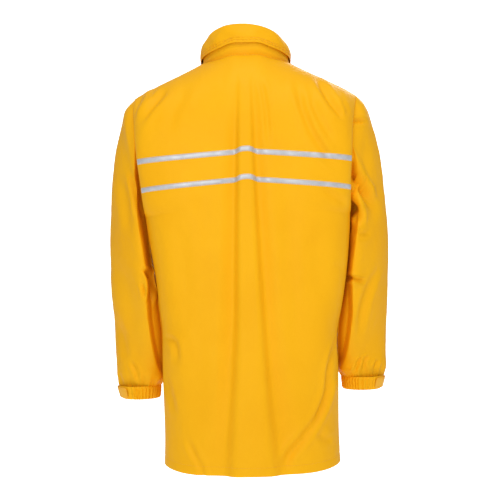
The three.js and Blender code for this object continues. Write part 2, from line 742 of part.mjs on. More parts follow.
function addCollar(jacket) {
  jacket.add(mesh('collar_stand', collarStand(), coatedCloth));
  jacket.add(mesh('collar_upper_band', collarUpperBand(), coatedCloth));
  jacket.add(mesh('collar_lining', collarLining(), liningCloth));
  jacket.add(mesh('collar_hook_strip', collarHookStrip(), hookAndLoop));
  jacket.add(mesh('rolled_hood', rolledHood(), liningCloth));

  const loop = mesh('hanger_loop', hangerLoop(), coatedCloth);
  loop.position.set(0, 44, 811);
  jacket.add(loop);
}

const jacket = new THREE.Group();
jacket.position.z = -SHOULDER_HEIGHT;
addBody(jacket);
addSleeves(jacket);
addCollar(jacket);
addZip(jacket);
addStormFlap(jacket);
addPockets(jacket);

export default jacket;
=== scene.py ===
"""A foul-weather jacket of coated yellow cloth, seen from behind, with its hood rolled inside the collar.

Soft pieces are worked out in millimetres with heights counted from the hem, and are placed in the model's
own frame (metres) as their meshes are made. The wearer faces -Y, and the wearer's left side is +X.
"""
import json
import math

import bpy
import numpy as np
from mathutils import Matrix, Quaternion, Vector


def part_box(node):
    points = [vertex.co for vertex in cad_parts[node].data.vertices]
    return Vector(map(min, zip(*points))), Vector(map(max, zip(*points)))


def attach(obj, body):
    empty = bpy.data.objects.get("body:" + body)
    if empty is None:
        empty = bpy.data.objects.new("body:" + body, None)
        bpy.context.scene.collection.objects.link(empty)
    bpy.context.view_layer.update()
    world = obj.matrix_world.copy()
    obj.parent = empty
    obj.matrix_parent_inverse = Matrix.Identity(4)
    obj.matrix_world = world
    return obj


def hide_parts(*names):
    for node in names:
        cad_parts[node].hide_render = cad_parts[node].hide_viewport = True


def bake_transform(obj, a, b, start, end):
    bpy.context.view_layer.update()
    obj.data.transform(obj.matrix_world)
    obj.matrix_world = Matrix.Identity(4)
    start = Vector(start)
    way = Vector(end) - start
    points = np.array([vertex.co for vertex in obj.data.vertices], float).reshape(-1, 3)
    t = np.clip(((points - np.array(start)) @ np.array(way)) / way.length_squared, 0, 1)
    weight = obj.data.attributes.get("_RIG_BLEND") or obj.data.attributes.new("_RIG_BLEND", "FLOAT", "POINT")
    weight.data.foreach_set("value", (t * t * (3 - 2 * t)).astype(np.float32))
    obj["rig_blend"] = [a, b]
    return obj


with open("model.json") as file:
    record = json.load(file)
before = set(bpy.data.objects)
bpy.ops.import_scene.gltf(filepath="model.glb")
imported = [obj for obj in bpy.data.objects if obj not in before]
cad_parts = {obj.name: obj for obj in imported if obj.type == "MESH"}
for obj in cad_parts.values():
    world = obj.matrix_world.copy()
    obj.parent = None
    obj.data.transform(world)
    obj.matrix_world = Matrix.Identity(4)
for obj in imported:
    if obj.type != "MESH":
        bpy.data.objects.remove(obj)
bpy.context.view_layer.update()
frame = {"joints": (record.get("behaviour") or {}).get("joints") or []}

# ---------------------------------------------------------------- driving dimensions, millimetres

MM = 0.001
HEM_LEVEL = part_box("back_panel")[0].z
SIDES = ((1, "left"), (-1, "right"))

SHOULDER_HALF_WIDTH = 220
ARMPIT_HEIGHT = 500
ARMHOLE_MIDDLE = 613
ARMHOLE_BACK_DEPTH = 70
ARMHOLE_FRONT_DEPTH = 75
FRONT_DEPTH = 125
FRONT_EDGE = 9

YOKE_ROW = 628
TOP_ROW = 728

NECK_HALF_WIDTH = 87
NECK_HALF_DEPTH = 90
NECK_CENTRE_Y = -35
NECK_FRONT_HEIGHT = 722
NECK_FRONT_SQUARENESS = 2.3
COLLAR_BACK_BULK = 24
COLLAR_FRONT_BULK = 8

TAPE_WIDTH = 10
TAPE_ROWS = {"lower": 565, "upper": 618}

CUFF_HEIGHT = 26
CUFF_TOP = 162.5
CUFF_CENTRE_Y = -53
CUFF_LIFT = {1: -3, -1: 8.5}

STITCH_PITCH = 3.4
STITCH_WIDTH = 0.55
STITCH_HALF_LENGTH = 0.38  # as a share of the pitch
THREAD_HALF_HEIGHT = 0.22
THREAD_LIFT = 0.12

CLOTH_THICKNESS = 0.9
SEGMENTS_ROUND = 40
WAVE_COUNT = 14

# ---------------------------------------------------------------- small maths


def lerp(a, b, t):
    return a + (b - a) * t


def mirrored(points, side):
    """Points of the left half, moved to the right one where side is -1."""
    return points * [side, 1, 1]


def smoothstep(value):
    t = np.clip(value, 0, 1)
    return t * t * (3 - 2 * t)


def rounded(width, squareness):
    """The other coordinate of a rounded section whose half width is 1: it falls from 1 to 0."""
    return (1 - np.minimum(np.abs(width), 1) ** squareness) ** (1 / squareness)


def through(stops):
    """A quantity that runs smoothly through (position, value) stops."""
    places, values = np.array(stops, float).T
    before = np.maximum(np.arange(len(places)) - 1, 0)
    after = np.minimum(np.arange(len(places)) + 1, len(places) - 1)
    slopes = (values[after] - values[before]) / (places[after] - places[before])

    def at(position):
        x = np.clip(position, places[0], places[-1])
        k = np.clip(np.searchsorted(places, x, side="right") - 1, 0, len(places) - 2)
        span = places[k + 1] - places[k]
        t = (x - places[k]) / span
        start = slopes[k] * span * (t ** 3 - 2 * t ** 2 + t)
        end = slopes[k + 1] * span * (t ** 3 - t ** 2)
        return lerp(values[k], values[k + 1], t * t * (3 - 2 * t)) + start + end

    return at


def curve_through(points, samples):
    """Evenly numbered samples of a smooth curve through a list of points."""
    at = np.linspace(0, len(points) - 1, samples)
    tracks = np.array(points, float).T
    return np.stack([through(list(enumerate(track)))(at) for track in tracks], axis=1)


def waves(points, size, seed):
    """A soft random field about 1 high, its features about `size` across; the same for the same seed."""
    draw = np.random.default_rng(seed)
    total = 0
    for _ in range(WAVE_COUNT):
        direction = draw.normal(size=points.shape[-1])
        direction *= draw.uniform(0.6, 1.5) / np.linalg.norm(direction)
        total = total + np.sin(points @ direction * (2 * math.pi / size) + draw.uniform(0, 2 * math.pi))
    return total / math.sqrt(WAVE_COUNT)


# ---------------------------------------------------------------- folds

# A fold is (path, width, depth): the path's points are (across, height), and a positive depth sinks a
# valley with a low ridge on each side of it, while a negative depth raises a ridge.


def distance_to_curve(across, height, line):
    """The distance from each point to a curve, and how far along it (0 to 1) its nearest place lies."""
    nearest = np.full(np.shape(across), np.inf)
    along = np.zeros(np.shape(across))
    legs = len(line) - 1
    for k, ((x, z), (dx, dz)) in enumerate(zip(line[:-1], np.diff(line, axis=0))):
        t = np.clip(((across - x) * dx + (height - z) * dz) / (dx * dx + dz * dz), 0, 1)
        distance = np.hypot(across - x - t * dx, height - z - t * dz)
        closer = distance < nearest
        nearest = np.where(closer, distance, nearest)
        along = np.where(closer, (k + t) / legs, along)
    return nearest, along


def fold_relief(across, height, folds):
    """How far a list of folds moves the cloth out (+) or in (-) at each point."""
    relief = np.zeros(np.shape(across))
    for path, width, depth in folds:
        distance, along = distance_to_curve(across, height, curve_through(path, 33))
        q = distance / width
        taper = smoothstep(along / 0.3) * smoothstep((1 - along) / 0.3)
        shoulder = 0.4 * np.exp(-(((q - 2.0) / 0.9) ** 2))
        relief -= depth * taper * (np.exp(-q * q) - shoulder)
    return relief


# ---------------------------------------------------------------- mesh building


def grid_normals(grid, wrap=False, turn=1):
    """Unit normals of a grid of points: columns run right and rows run up when seen from outside."""
    if wrap:
        along = np.roll(grid, -1, axis=1) - np.roll(grid, 1, axis=1)
    else:
        along = np.gradient(grid, axis=1)
    normals = np.cross(along, np.gradient(grid, axis=0)) * turn
    return normals / np.maximum(np.linalg.norm(normals, axis=-1, keepdims=True), 1e-9)


def grid_faces(rows, columns, wrap=False, turn=1):
    j, i = np.meshgrid(np.arange(rows - 1), np.arange(columns if wrap else columns - 1), indexing="ij")
    after = (i + 1) % columns
    low, high = j * columns, (j + 1) * columns
    quads = np.stack([low + i, low + after, high + after, high + i], -1).reshape(-1, 4)
    return quads if turn > 0 else quads[:, ::-1]


def placed(points):
    """Millimetres above the hem, as metres in the model's frame."""
    return np.asarray(points, float).reshape(-1, 3) * MM + np.array([0, 0, HEM_LEVEL])


def new_piece(name, points, faces, *materials, sharp=40):
    mesh = bpy.data.meshes.new(name)
    mesh.from_pydata(placed(points).tolist(), [], [list(map(int, face)) for face in faces])
    mesh.validate()
    for material in materials:
        mesh.materials.append(material)
    mesh.shade_smooth()
    mesh.set_sharp_from_angle(angle=math.radians(sharp))
    piece = bpy.data.objects.new(name, mesh)
    bpy.context.scene.collection.objects.link(piece)
    return piece


def apply_modifiers(piece):
    shaped = piece.evaluated_get(bpy.context.evaluated_depsgraph_get())
    mesh = bpy.data.meshes.new_from_object(shaped)
    mesh.name = piece.name
    piece.modifiers.clear()
    piece.data = mesh
    return piece


def thicken(piece, thickness, inner_material=False):
    """Gives a single face of cloth its thickness, behind the face."""
    solid = piece.modifiers.new("thickness", "SOLIDIFY")
    solid.thickness = thickness * MM
    solid.offset = -1
    solid.material_offset = 1 if inner_material else 0
    apply_modifiers(piece)
    piece.data.set_sharp_from_angle(angle=math.radians(50))
    return piece


def cloth(name, grid, thickness, *materials, wrap=False, turn=1):
    faces = grid_faces(grid.shape[0], grid.shape[1], wrap, turn)
    return thicken(new_piece(name, grid, faces, *materials), thickness, len(materials) > 1)


def settle(piece, body, slot, *nodes):
    """Puts a piece on its body, if it has only one, and lets it stand for its CAD nodes; slot is not used."""
    if body:
        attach(piece, body)
    if nodes:
        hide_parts(*nodes)
    return piece


def stitch_shape(rings, sides):
    """A stitch from end to end, 2 long, 2 wide and 2 high, and its faces."""
    ring = np.linspace(-1, 1, rings)
    girth = np.sqrt(1 - (ring * 0.93) ** 2)
    angle = np.arange(sides) / sides * 2 * math.pi
    unit = np.stack([
        np.repeat(ring, sides),
        np.outer(girth, np.cos(angle)).ravel(),
        np.outer(girth, np.sin(angle)).ravel(),
    ], axis=1)
    side_faces = grid_faces(rings, sides, wrap=True).tolist()
    caps = [list(range(sides))[::-1], [(rings - 1) * sides + k for k in range(sides)]]
    return unit, side_faces + caps


def unit_rows(vectors):
    return vectors / np.linalg.norm(vectors, axis=1, keepdims=True)


def stitches(name, lines, material, body, slot, pitch=STITCH_PITCH, width=STITCH_WIDTH):
    """Rows of thread: each line is (points, normals) on the cloth, and each stitch is a small raised dash."""
    unit, unit_faces = stitch_shape(rings=5, sides=6)
    reach = 0.8
    vertices, faces = [], []
    for points, normals in lines:
        steps = np.linalg.norm(np.diff(points, axis=0), axis=1)
        travelled = np.concatenate([[0], np.cumsum(steps)])
        count = int(travelled[-1] / pitch)

        def along_line(values, places):
            return np.stack([np.interp(places, travelled, values[:, k]) for k in range(3)], 1)

        at = (np.arange(count) + 0.5) * travelled[-1] / count
        centre = along_line(points, at)
        tangent = unit_rows(along_line(points, at + reach) - along_line(points, at - reach))
        out = along_line(normals, at)
        out = unit_rows(out - tangent * np.sum(out * tangent, axis=1, keepdims=True))
        across = np.cross(out, tangent)
        for c, t, b, n in zip(centre, tangent, across, out):
            start = len(vertices) * len(unit)
            lengthwise = unit[:, :1] * t * pitch * STITCH_HALF_LENGTH
            sideways = unit[:, 1:2] * b * width / 2
            outward = (unit[:, 2:] * THREAD_HALF_HEIGHT + THREAD_LIFT) * n
            vertices.append(c + lengthwise + sideways + outward)
            faces.extend([[start + v for v in face] for face in unit_faces])
    return settle(new_piece(name, np.concatenate(vertices), faces, material, sharp=80), body, slot)


def turned(profile, centre, outward, name, material):
    """A turned piece: profile points are (radius, height along `outward`), the first and last on the axis."""
    centre = np.array(centre)
    axis = np.array(outward, float) / np.linalg.norm(outward)
    up = np.array([0, 0, 1.0])
    right = np.cross(up, axis)
    right /= np.linalg.norm(right)
    up = np.cross(axis, right)
    segments = SEGMENTS_ROUND
    angle = np.arange(segments) / segments * 2 * math.pi
    circle = np.cos(angle)[:, None] * right + np.sin(angle)[:, None] * up
    inner = profile[1:-1]
    points = [centre + circle * radius + axis * height for radius, height in inner]
    faces = grid_faces(len(inner), segments, wrap=True).tolist()
    first = len(inner) * segments
    points.append(np.array([centre + axis * profile[0][1], centre + axis * profile[-1][1]]))
    top = (len(inner) - 1) * segments
    faces += [[first, (k + 1) % segments, k] for k in range(segments)]
    faces += [[first + 1, top + k, top + (k + 1) % segments] for k in range(segments)]
    return new_piece(name, np.concatenate(points), faces, material, sharp=35)


# ---------------------------------------------------------------- the body's surface

SHOULDER_TIP = 735

# Half width at the side seam, then at the armhole edge; the back's depth along the centre line; how much
# lower a row of cloth lies at its edge than at the centre; and the shoulder line's height, by distance out.
half_width = through([
    (0, 176), (60, 174), (180, 175), (270, 173.5), (320, 181), (380, 189), (440, 197),
    (ARMPIT_HEIGHT, 203), (560, 205.5), (614, 210), (680, 214), (SHOULDER_TIP, SHOULDER_HALF_WIDTH),
])
back_depth = through([(0, 128), (130, 124), (270, 119), (400, 118), (520, 122), (YOKE_ROW, 126)])
edge_drop = through([
    (0, 0), (390, 0), (453, 3), (512, 12), (536, 15), (565, 17.5), (575, 17.5), (YOKE_ROW, 15),
])
shoulder_line = through([
    (0, 853), (25, 849.5), (50, 832), (NECK_HALF_WIDTH, 806), (150, 773), (200, 747),
    (SHOULDER_HALF_WIDTH, SHOULDER_TIP),
])
# How square the body's section is, by height: 2 is an ellipse.
squareness = through([(0, 2.3), (150, 2.5), (260, 3.4), (YOKE_ROW, 3.8)])


def armhole_depth(side, height):
    """The armhole edge's distance behind or in front of the shoulder point, by height."""
    depth = ARMHOLE_BACK_DEPTH if side > 0 else ARMHOLE_FRONT_DEPTH
    below = rounded(np.clip((ARMHOLE_MIDDLE - height) / (ARMHOLE_MIDDLE - ARMPIT_HEIGHT), 0, 1), 2)
    return side * depth * np.where(height <= ARMPIT_HEIGHT, 0, below)


def neck_seam_reach(side, across):
    squareness = 2 if side > 0 else NECK_FRONT_SQUARENESS
    return rounded(across / NECK_HALF_WIDTH, squareness)


def body_face(side, s, row):
    """A point of the back (side = 1) or front (-1) before its folds.

    s runs from 0 at the centre line to 1 at the edge. row is the height at the centre up to YOKE_ROW,
    and from there to TOP_ROW it follows the cloth over the shoulder to the neck and shoulder seams.
    """
    s, row = np.broadcast_arrays(np.asarray(s, float), np.asarray(row, float))
    level = np.minimum(row, YOKE_ROW)
    edge = level - edge_drop(level)
    middle = back_depth(level) if side > 0 else -FRONT_DEPTH
    rim = armhole_depth(side, edge)
    base_y = rim + (middle - rim) * rounded(s, squareness(level))
    base_z = lerp(level, edge, s * s)

    out = np.abs(s) * SHOULDER_HALF_WIDTH
    at_neck = out < NECK_HALF_WIDTH
    past_neck = np.clip((out - NECK_HALF_WIDTH) / (SHOULDER_HALF_WIDTH - NECK_HALF_WIDTH), 0, 1)
    top_y = NECK_CENTRE_Y * (1 - past_neck ** 1.3)
    top_z = shoulder_line(out)
    reach = neck_seam_reach(side, out)
    if side > 0:
        seam_y = NECK_CENTRE_Y + NECK_HALF_DEPTH * reach
        covered = np.clip((seam_y - top_y) / np.maximum(base_y - top_y, 1), 0, 1)
        power = 1.35 - 0.35 * smoothstep((np.abs(s) - 0.88) / 0.12)
        turn = np.where(at_neck, np.arccos(1 - (1 - covered) ** (1 / power)), math.pi / 2)
        seam_z = lerp(base_z, top_z, np.where(at_neck, np.sqrt(1 - covered ** 2), 1))
        top_z = base_z + (seam_z - base_z) / np.sin(turn)
    else:
        seam_z = lerp(shoulder_line(NECK_HALF_WIDTH), NECK_FRONT_HEIGHT, reach ** 1.5)
        turn = np.arcsin(np.clip((seam_z - base_z) / (top_z - base_z), 0, 1))
        power = 1.6 - 0.6 * smoothstep(out / 80)
    turn = np.where(at_neck, turn, math.pi / 2)
    angle = turn * np.clip((row - YOKE_ROW) / (TOP_ROW - YOKE_ROW), 0, 1)
    y = lerp(base_y, top_y, (1 - np.cos(angle)) ** power)
    z = lerp(base_z, top_z, np.sin(angle))
    edge_height = np.where(row > YOKE_ROW, lerp(edge, SHOULDER_TIP, np.sin(angle)), edge)
    return np.stack([s * half_width(edge_height), y, z], axis=-1)


# The folds that the back's cloth has taken up, as seen from behind: across is +X.
BACK_FOLDS = [
    ([(-26, 765), (-34, 725), (-39, 680), (-42, 610)], 4.6, 2.6),
    # pulls from the left shoulder into the armhole
    ([(196, 752), (206, 730), (213, 706), (215, 684)], 6, 3.6),
    ([(152, 750), (168, 726), (186, 700), (206, 668)], 7, 5.6),
    ([(176, 762), (180, 744), (184, 722)], 7, 2.4),
    ([(112, 765), (124, 722), (138, 690), (146, 640)], 10, 2.2),
    # the long slanting pulls from the right shoulder
    ([(-134, 780), (-148, 744), (-163, 716), (-182, 692), (-200, 676)], 7, 6.6),
    ([(-94, 764), (-103, 722), (-114, 684), (-132, 642), (-160, 604), (-186, 580)], 7, 5.2),
    ([(-118, 730), (-134, 694), (-154, 658), (-178, 628)], 8, 4.0),
    ([(-184, 716), (-196, 700), (-204, 684)], 5, 3.0),
    ([(-140, 548), (-158, 534), (-178, 522), (-196, 508)], 7, 3.0),
    # broad soft drape
    ([(82, 640), (80, 520), (84, 400), (90, 260), (98, 120), (100, -60)], 20, 2.8),
    ([(-78, 620), (-76, 500), (-80, 380), (-88, 250), (-96, 120)], 22, 2.8),
    ([(128, 520), (126, 420), (122, 330), (126, 240)], 18, 3.4),
    ([(-126, 480), (-130, 400), (-134, 320)], 16, 2.5),
    # low on the left: a dent over the pocket, and a slant below it
    ([(172, 262), (150, 258), (142, 240), (144, 206)], 5.9, 3.8),
    ([(172, 200), (162, 168), (154, 140), (150, 110)], 5.9, 3.1),
    ([(128, 76), (114, 42), (100, 10), (92, -30)], 5.3, 3.1),
    # low on the right: long folds from the waist down to the hem
    ([(-186, 272), (-164, 232), (-153, 194), (-147, 150), (-126, 104), (-98, 66)], 6.2, 8.0),
    ([(-172, 240), (-168, 200), (-160, 160)], 5.3, 3.1),
    ([(-122, 104), (-98, 68), (-74, 40), (-56, 6)], 7.4, 5.6),
    ([(-128, 80), (-140, 62), (-158, 52)], 6.6, 3.1),
    ([(-184, 388), (-172, 394), (-158, 398)], 8, 1.4),
]
FRONT_FOLDS = [
    ([(72, 800), (84, 740), (100, 690), (120, 640)], 7.9, 3.6),
    ([(104, 790), (124, 742), (150, 700), (176, 664)], 6.6, 4.1),
    ([(150, 765), (172, 734), (192, 706), (206, 680)], 5.3, 3.6),
    ([(196, 560), (170, 530), (140, 508), (108, 496)], 7.9, 3.8),
    ([(196, 520), (168, 488), (136, 460)], 7.9, 3.1),
    ([(70, 640), (66, 560), (68, 470), (74, 390)], 16, 3.4),
    ([(104, 470), (112, 420), (124, 370)], 14, 3.1),
    ([(70, 110), (74, 60), (70, -60)], 14, 3.1),
    ([(150, 110), (156, 60), (158, -60)], 14, 3.4),
]
HEM_STITCH_HEIGHT = 17

# The soft box pleat down the middle of the back: where its two flanks are steepest, and how high it is.
pleat_left = through([
    (0, 44), (100, 38), (200, 31), (300, 26), (400, 24), (500, 22), (640, 18), (770, 14),
])
pleat_right = through([
    (0, -47), (100, -38), (200, -30), (300, -25), (400, -20), (500, -16), (640, -11), (770, -9),
])
pleat_rise = through([(0, 13), (120, 14), (400, 13), (560, 11), (640, 9), (700, 5), (775, 0)])

# How far the body sways to the wearer's left at its edges, by height, and how far the hem rises there.
sway = through([
    (0, 0), (190, 1), (250, 1.5), (320, -1.5), (380, -3), (450, -1), (495, 1), (555, 4), (610, 6),
    (690, 6), (SHOULDER_TIP, 2),
])
HEM_RISE = 11

# Between these heights the armhole's edge goes from tucked in to flush with the shoulder.
TUCK_TOP = 705
TUCK_FADE = 70
SLOPE_STEP = 0.004
FLAT_FRONT_WIDTH = 44


def swayed(points, amount=1.0):
    """Points shifted across by the body's sway, which grows from nothing at the centre line."""
    edge = np.clip(np.abs(points[..., 0]) / half_width(points[..., 2]), 0, 1)
    return points + np.stack([sway(points[..., 2]) * edge ** 2 * amount, 0 * edge, 0 * edge], axis=-1)


def centre_pleat(across, height):
    middle = (pleat_left(height) + pleat_right(height)) / 2
    half = (pleat_left(height) - pleat_right(height)) / 2
    q = (across - middle) / half
    crown = 1 / (1 + np.abs(q) ** 8)
    hollow = np.exp(-(((np.abs(q) - 1.3) / np.where(np.abs(q) < 1.3, 0.35, 0.85)) ** 2))
    return pleat_rise(height) * (0.75 * crown - 0.6 * hollow)


def hem_relief(across, height):
    """Small puckers along the hem's stitching, and the groove that the thread pulls in."""
    ruffle = np.sin(across / 4.6 + 1.3 * np.sin(across / 23)) * np.exp(-(((height - 15) / 12) ** 2))
    patchy = 0.55 + 0.45 * np.sin(across / 41 + 0.7)
    groove = np.exp(-(((height - HEM_STITCH_HEIGHT) / 1.8) ** 2))
    return 0.5 * ruffle * patchy - 0.55 * groove


def body_normals(side, s, row):
    right, left = [body_face(side, np.clip(s + step, -1, 1), row) for step in (SLOPE_STEP, -SLOPE_STEP)]
    low = np.maximum(np.asarray(row, float) - 1, 0)
    high = np.minimum(np.asarray(row, float) + 1, TOP_ROW - 0.5)
    up = body_face(side, s, high) - body_face(side, s, np.minimum(low, high - 1))
    normals = np.cross(right - left, up) * -side
    return normals / np.maximum(np.linalg.norm(normals, axis=-1, keepdims=True), 1e-9)


def body_cloth(side, s, row):
    """The body's face with its folds, hem and drape, and its normals."""
    points = body_face(side, s, row)
    normals = body_normals(side, s, row)
    across, height = points[..., 0], points[..., 2]
    if side > 0:
        relief = fold_relief(across, height, BACK_FOLDS) + centre_pleat(across, height)
        calm = 1
    else:
        relief = fold_relief(np.abs(across), height, FRONT_FOLDS)
        calm = smoothstep((np.abs(across) - FLAT_FRONT_WIDTH) / 30)
    relief = relief + 0.55 * waves(points * [1, 1, 0.45], 88, 11)
    relief = relief + 0.12 * waves(points * [1, 1, 0.8], 23, 5)
    fixed = smoothstep((1 - np.abs(s)) / 0.05) * smoothstep((TOP_ROW - row) / 26)
    seam_groove = -2.4 * np.exp(-(((TOP_ROW - row) / 2.0) ** 2))
    tucked_edge = -0.9 * smoothstep((np.abs(s) - 0.988) / 0.012) * smoothstep((TUCK_TOP - height) / TUCK_FADE)
    relief = relief * fixed * calm + hem_relief(across, height) * calm + seam_groove + tucked_edge
    points = points + normals * relief[..., None]
    points[..., 2] += HEM_RISE * np.abs(s) ** 6 * smoothstep(1 - height / 140)
    return (swayed(points) if side > 0 else points), normals


def columns(neck_share, neck_steps, side_steps):
    """Column places from 0 to 1, crowded where the cloth turns at the neck's side and at the edge."""
    neck = neck_share * np.sin(np.linspace(0, math.pi / 2, neck_steps, endpoint=False))
    side = np.sin(np.linspace(math.asin(neck_share), math.pi / 2, side_steps + 1))
    return np.concatenate([neck, side])


def body_rows(level_steps, yoke_steps):
    level = np.linspace(0, YOKE_ROW, level_steps, endpoint=False)
    return np.concatenate([level, np.linspace(YOKE_ROW, TOP_ROW, yoke_steps + 1)])


def back_panel(finish, knit):
    half = columns(NECK_HALF_WIDTH / SHOULDER_HALF_WIDTH, 42, 62)
    s = np.concatenate([-half[:0:-1], half])
    row, across = np.meshgrid(body_rows(180, 44), s, indexing="ij")
    grid, _ = body_cloth(1, across, row)
    piece = cloth("back_panel_cloth", grid, CLOTH_THICKNESS, finish, knit, turn=-1)
    return settle(piece, "coat", "coated_cloth", "back_panel")


def front_panel(side, word, finish, knit):
    share = (NECK_HALF_WIDTH - FRONT_EDGE) / (SHOULDER_HALF_WIDTH - FRONT_EDGE)
    q = columns(share, 30, 52)
    row, place = np.meshgrid(body_rows(150, 36), q, indexing="ij")
    level = np.minimum(row, YOKE_ROW)
    half = half_width(level - edge_drop(level))
    s = lerp(FRONT_EDGE, half, place) / half
    grid, _ = body_cloth(-1, s, row)
    grid = swayed(mirrored(grid, side))
    piece = cloth(f"front_{word}_cloth", grid, CLOTH_THICKNESS, finish, knit, turn=side)
    return settle(piece, "coat", "coated_cloth", f"front_panel_{word}")


def tape_sag(s, row):
    """How far a tape hangs below its row: least on the pleat's crown, most halfway to the edge."""
    across = s * half_width(row)
    on_crown = np.exp(-(((across - 3) / 17) ** 4))
    return 5 * (1 - on_crown) + 3.2 * np.sin(math.pi * np.abs(s))


def reflective_tape(word, row, finish):
    """A tape that follows the cloth and its folds, a little proud of it."""
    s = np.linspace(-0.985, 0.985, 420)
    profile = [(0, 0.1), (0.06, 0.42), (0.5, 0.5), (0.94, 0.42), (1, 0.1)]
    grid = []
    for up, lift in profile:
        points, normals = body_cloth(1, s, row + up * TAPE_WIDTH - tape_sag(s, row))
        grid.append(points + normals * lift)
    piece = cloth(f"reflective_tape_{word}_film", np.array(grid), 0.3, finish, turn=-1)
    return settle(piece, "coat", "reflective_tape", f"reflective_tape_{word}")


# ---------------------------------------------------------------- sleeves

# Sections down the left sleeve: (outer x, outer z, inner x, inner z, middle y, half depth).
SLEEVE_SECTIONS = [
    (219, SHOULDER_TIP, 199, 505, -2.5, 70),
    (238, 717.5, 204, 503, -3, 70),
    (249.5, 688.5, 203.5, 486, -6, 74),
    (265, 622, 199, 452, -13, 82),
    (277, 530, 193.5, 406, -23, 88),
    (282, 440, 187, 360, -33, 90),
    (282, 355, 180, 314, -42, 87),
    (279, 280, 175, 262, -48, 78),
    (276, 215, 176, 208, -52, 66),
    (271, CUFF_TOP, 184, CUFF_TOP, CUFF_CENTRE_Y, 52),
]
LAST_SECTION = len(SLEEVE_SECTIONS) - 1
SLEEVE_SQUARENESS = 2.7
SLEEVE_SLANT = 0.4
SLEEVE_TRACKS = [through(list(enumerate(track))) for track in zip(*SLEEVE_SECTIONS)]

# Beside the body's edge the sleeve's cloth falls away forward: how far, and over what width, by height.
SLEEVE_TUCK = {
    1: through([
        (150, 0), (180, 14), (240, 22), (300, 26), (360, 28), (480, 36), (560, 32), (630, 13), (690, 4),
        (725, 0),
    ]),
    -1: through([
        (150, 0), (180, 14), (240, 22), (300, 26), (430, 24), (480, 16), (540, 9), (600, 5), (640, 1),
        (725, 0),
    ]),
}
tuck_width = through([
    (150, 4), (190, 8), (250, 20), (290, 22), (340, 15), (390, 8), (500, 10), (560, 8), (620, 1),
    (650, -2), (725, -3),
])

# Folds on the back of each sleeve, across counted outwards from the jacket's middle.
SLEEVE_FOLDS = {
    1: [
        ([(230, 592), (221, 560), (216, 525), (212, 490)], 5.3, 6),
        ([(216, 398), (200, 388), (194, 368), (197, 338), (204, 318)], 4, 7.2),
        ([(212, 372), (207, 352), (206, 334)], 3.3, 4.8),
        ([(256, 590), (243, 545), (237, 500), (236, 455)], 8.6, 3.1),
        ([(262, 420), (246, 372), (236, 320), (230, 262)], 14, 3.6),
        ([(268, 300), (256, 250), (252, 205)], 7.3, 2.2),
        ([(243, 214), (230, 190), (226, 166)], 4, 3.1),
    ],
    -1: [
        ([(180, 673), (206, 677), (226, 679), (246, 677)], 4.5, 5.5),
        ([(172, 650), (196, 604), (212, 568), (230, 536), (252, 496)], 8, 19),
        ([(184, 552), (201, 520), (213, 496), (216, 470)], 6, 13),
        ([(204, 466), (222, 456), (242, 460)], 5.9, 3.6),
        ([(188, 376), (206, 369), (233, 364)], 4, 6.6),
        ([(268, 410), (242, 362), (228, 328), (219, 288), (213, 236)], 6.6, 4.3),
        ([(262, 560), (250, 520), (246, 470)], 8.6, 2.9),
        ([(206, 176), (213, 200), (225, 212)], 3.3, 3.8),
        ([(226, 180), (228, 204), (240, 212)], 3.3, 3.1),
        ([(248, 186), (257, 206)], 3.3, 2.9),
    ],
}
SLEEVE_FRONT_FOLDS = [
    ([(214, 690), (226, 650), (246, 610), (262, 570)], 6.6, 4.3),
    ([(206, 600), (222, 560), (244, 528)], 5.9, 5),
    ([(200, 452), (224, 436), (252, 440)], 5.9, 5.3),
    ([(196, 400), (220, 392), (248, 404), (262, 424)], 5.3, 5.5),
    ([(190, 356), (214, 352), (240, 372)], 5.3, 4.6),
    ([(256, 340), (244, 290), (238, 230)], 7.9, 3.1),
]
CUFF_GATHERS = 36
SECTION_PITCH = 50  # rough millimetres of sleeve from one section to the next


def armhole_ring(angle):
    """The armhole's edge, from the shoulder tip (0) round the back (pi / 2) to the armpit (pi)."""
    reach = np.where(np.cos(angle) > 0, SHOULDER_TIP - ARMHOLE_MIDDLE, ARMHOLE_MIDDLE - ARMPIT_HEIGHT)
    height = ARMHOLE_MIDDLE + reach * np.cos(angle)
    depth = np.where(np.sin(angle) > 0, ARMHOLE_BACK_DEPTH, ARMHOLE_FRONT_DEPTH)
    return np.stack([half_width(height), depth * np.sin(angle), height], axis=-1)


def gather_wave(angle, seed):
    """Uneven pleats round the wrist, from 0 on their crests to 1 in their valleys."""
    drift = 1.5 * np.sin(angle * 3 + seed) + 1.1 * np.sin(angle * 7 + 2 * seed) + 0.6 * np.sin(angle * 13)
    return 0.5 - 0.5 * np.cos(CUFF_GATHERS * angle + drift)


def sleeve_face(side, angle, along):
    """The left sleeve's surface before its folds, from the armhole's ring (0) to the cuff."""
    outer_x, outer_z, inner_x, inner_z, middle_y, depth = [track(along) for track in SLEEVE_TRACKS]
    boxy = 2 / lerp(2, SLEEVE_SQUARENESS, smoothstep(along / 2) * smoothstep((LAST_SECTION - along) / 1.5))
    swing = 0.5 + 0.5 * np.sign(np.cos(angle)) * np.abs(np.cos(angle)) ** boxy
    x = lerp(inner_x, outer_x, swing)
    z = lerp(inner_z, outer_z, swing) + CUFF_LIFT[side] * smoothstep((along - 4) / 5)
    back_slope = 1 - 0.4 * swing * (np.sin(angle) > 0) * smoothstep(along / 2.5)
    y = middle_y + depth * back_slope * np.sign(np.sin(angle)) * np.abs(np.sin(angle)) ** boxy
    slant = SLEEVE_SLANT * smoothstep(along / 2.5) * smoothstep((LAST_SECTION - along) / 2)
    y -= slant * (x - (inner_x + outer_x) / 2)
    section = np.stack([x, y, z], axis=-1)
    return lerp(armhole_ring(angle), section, smoothstep(along / 1.2)[..., None])


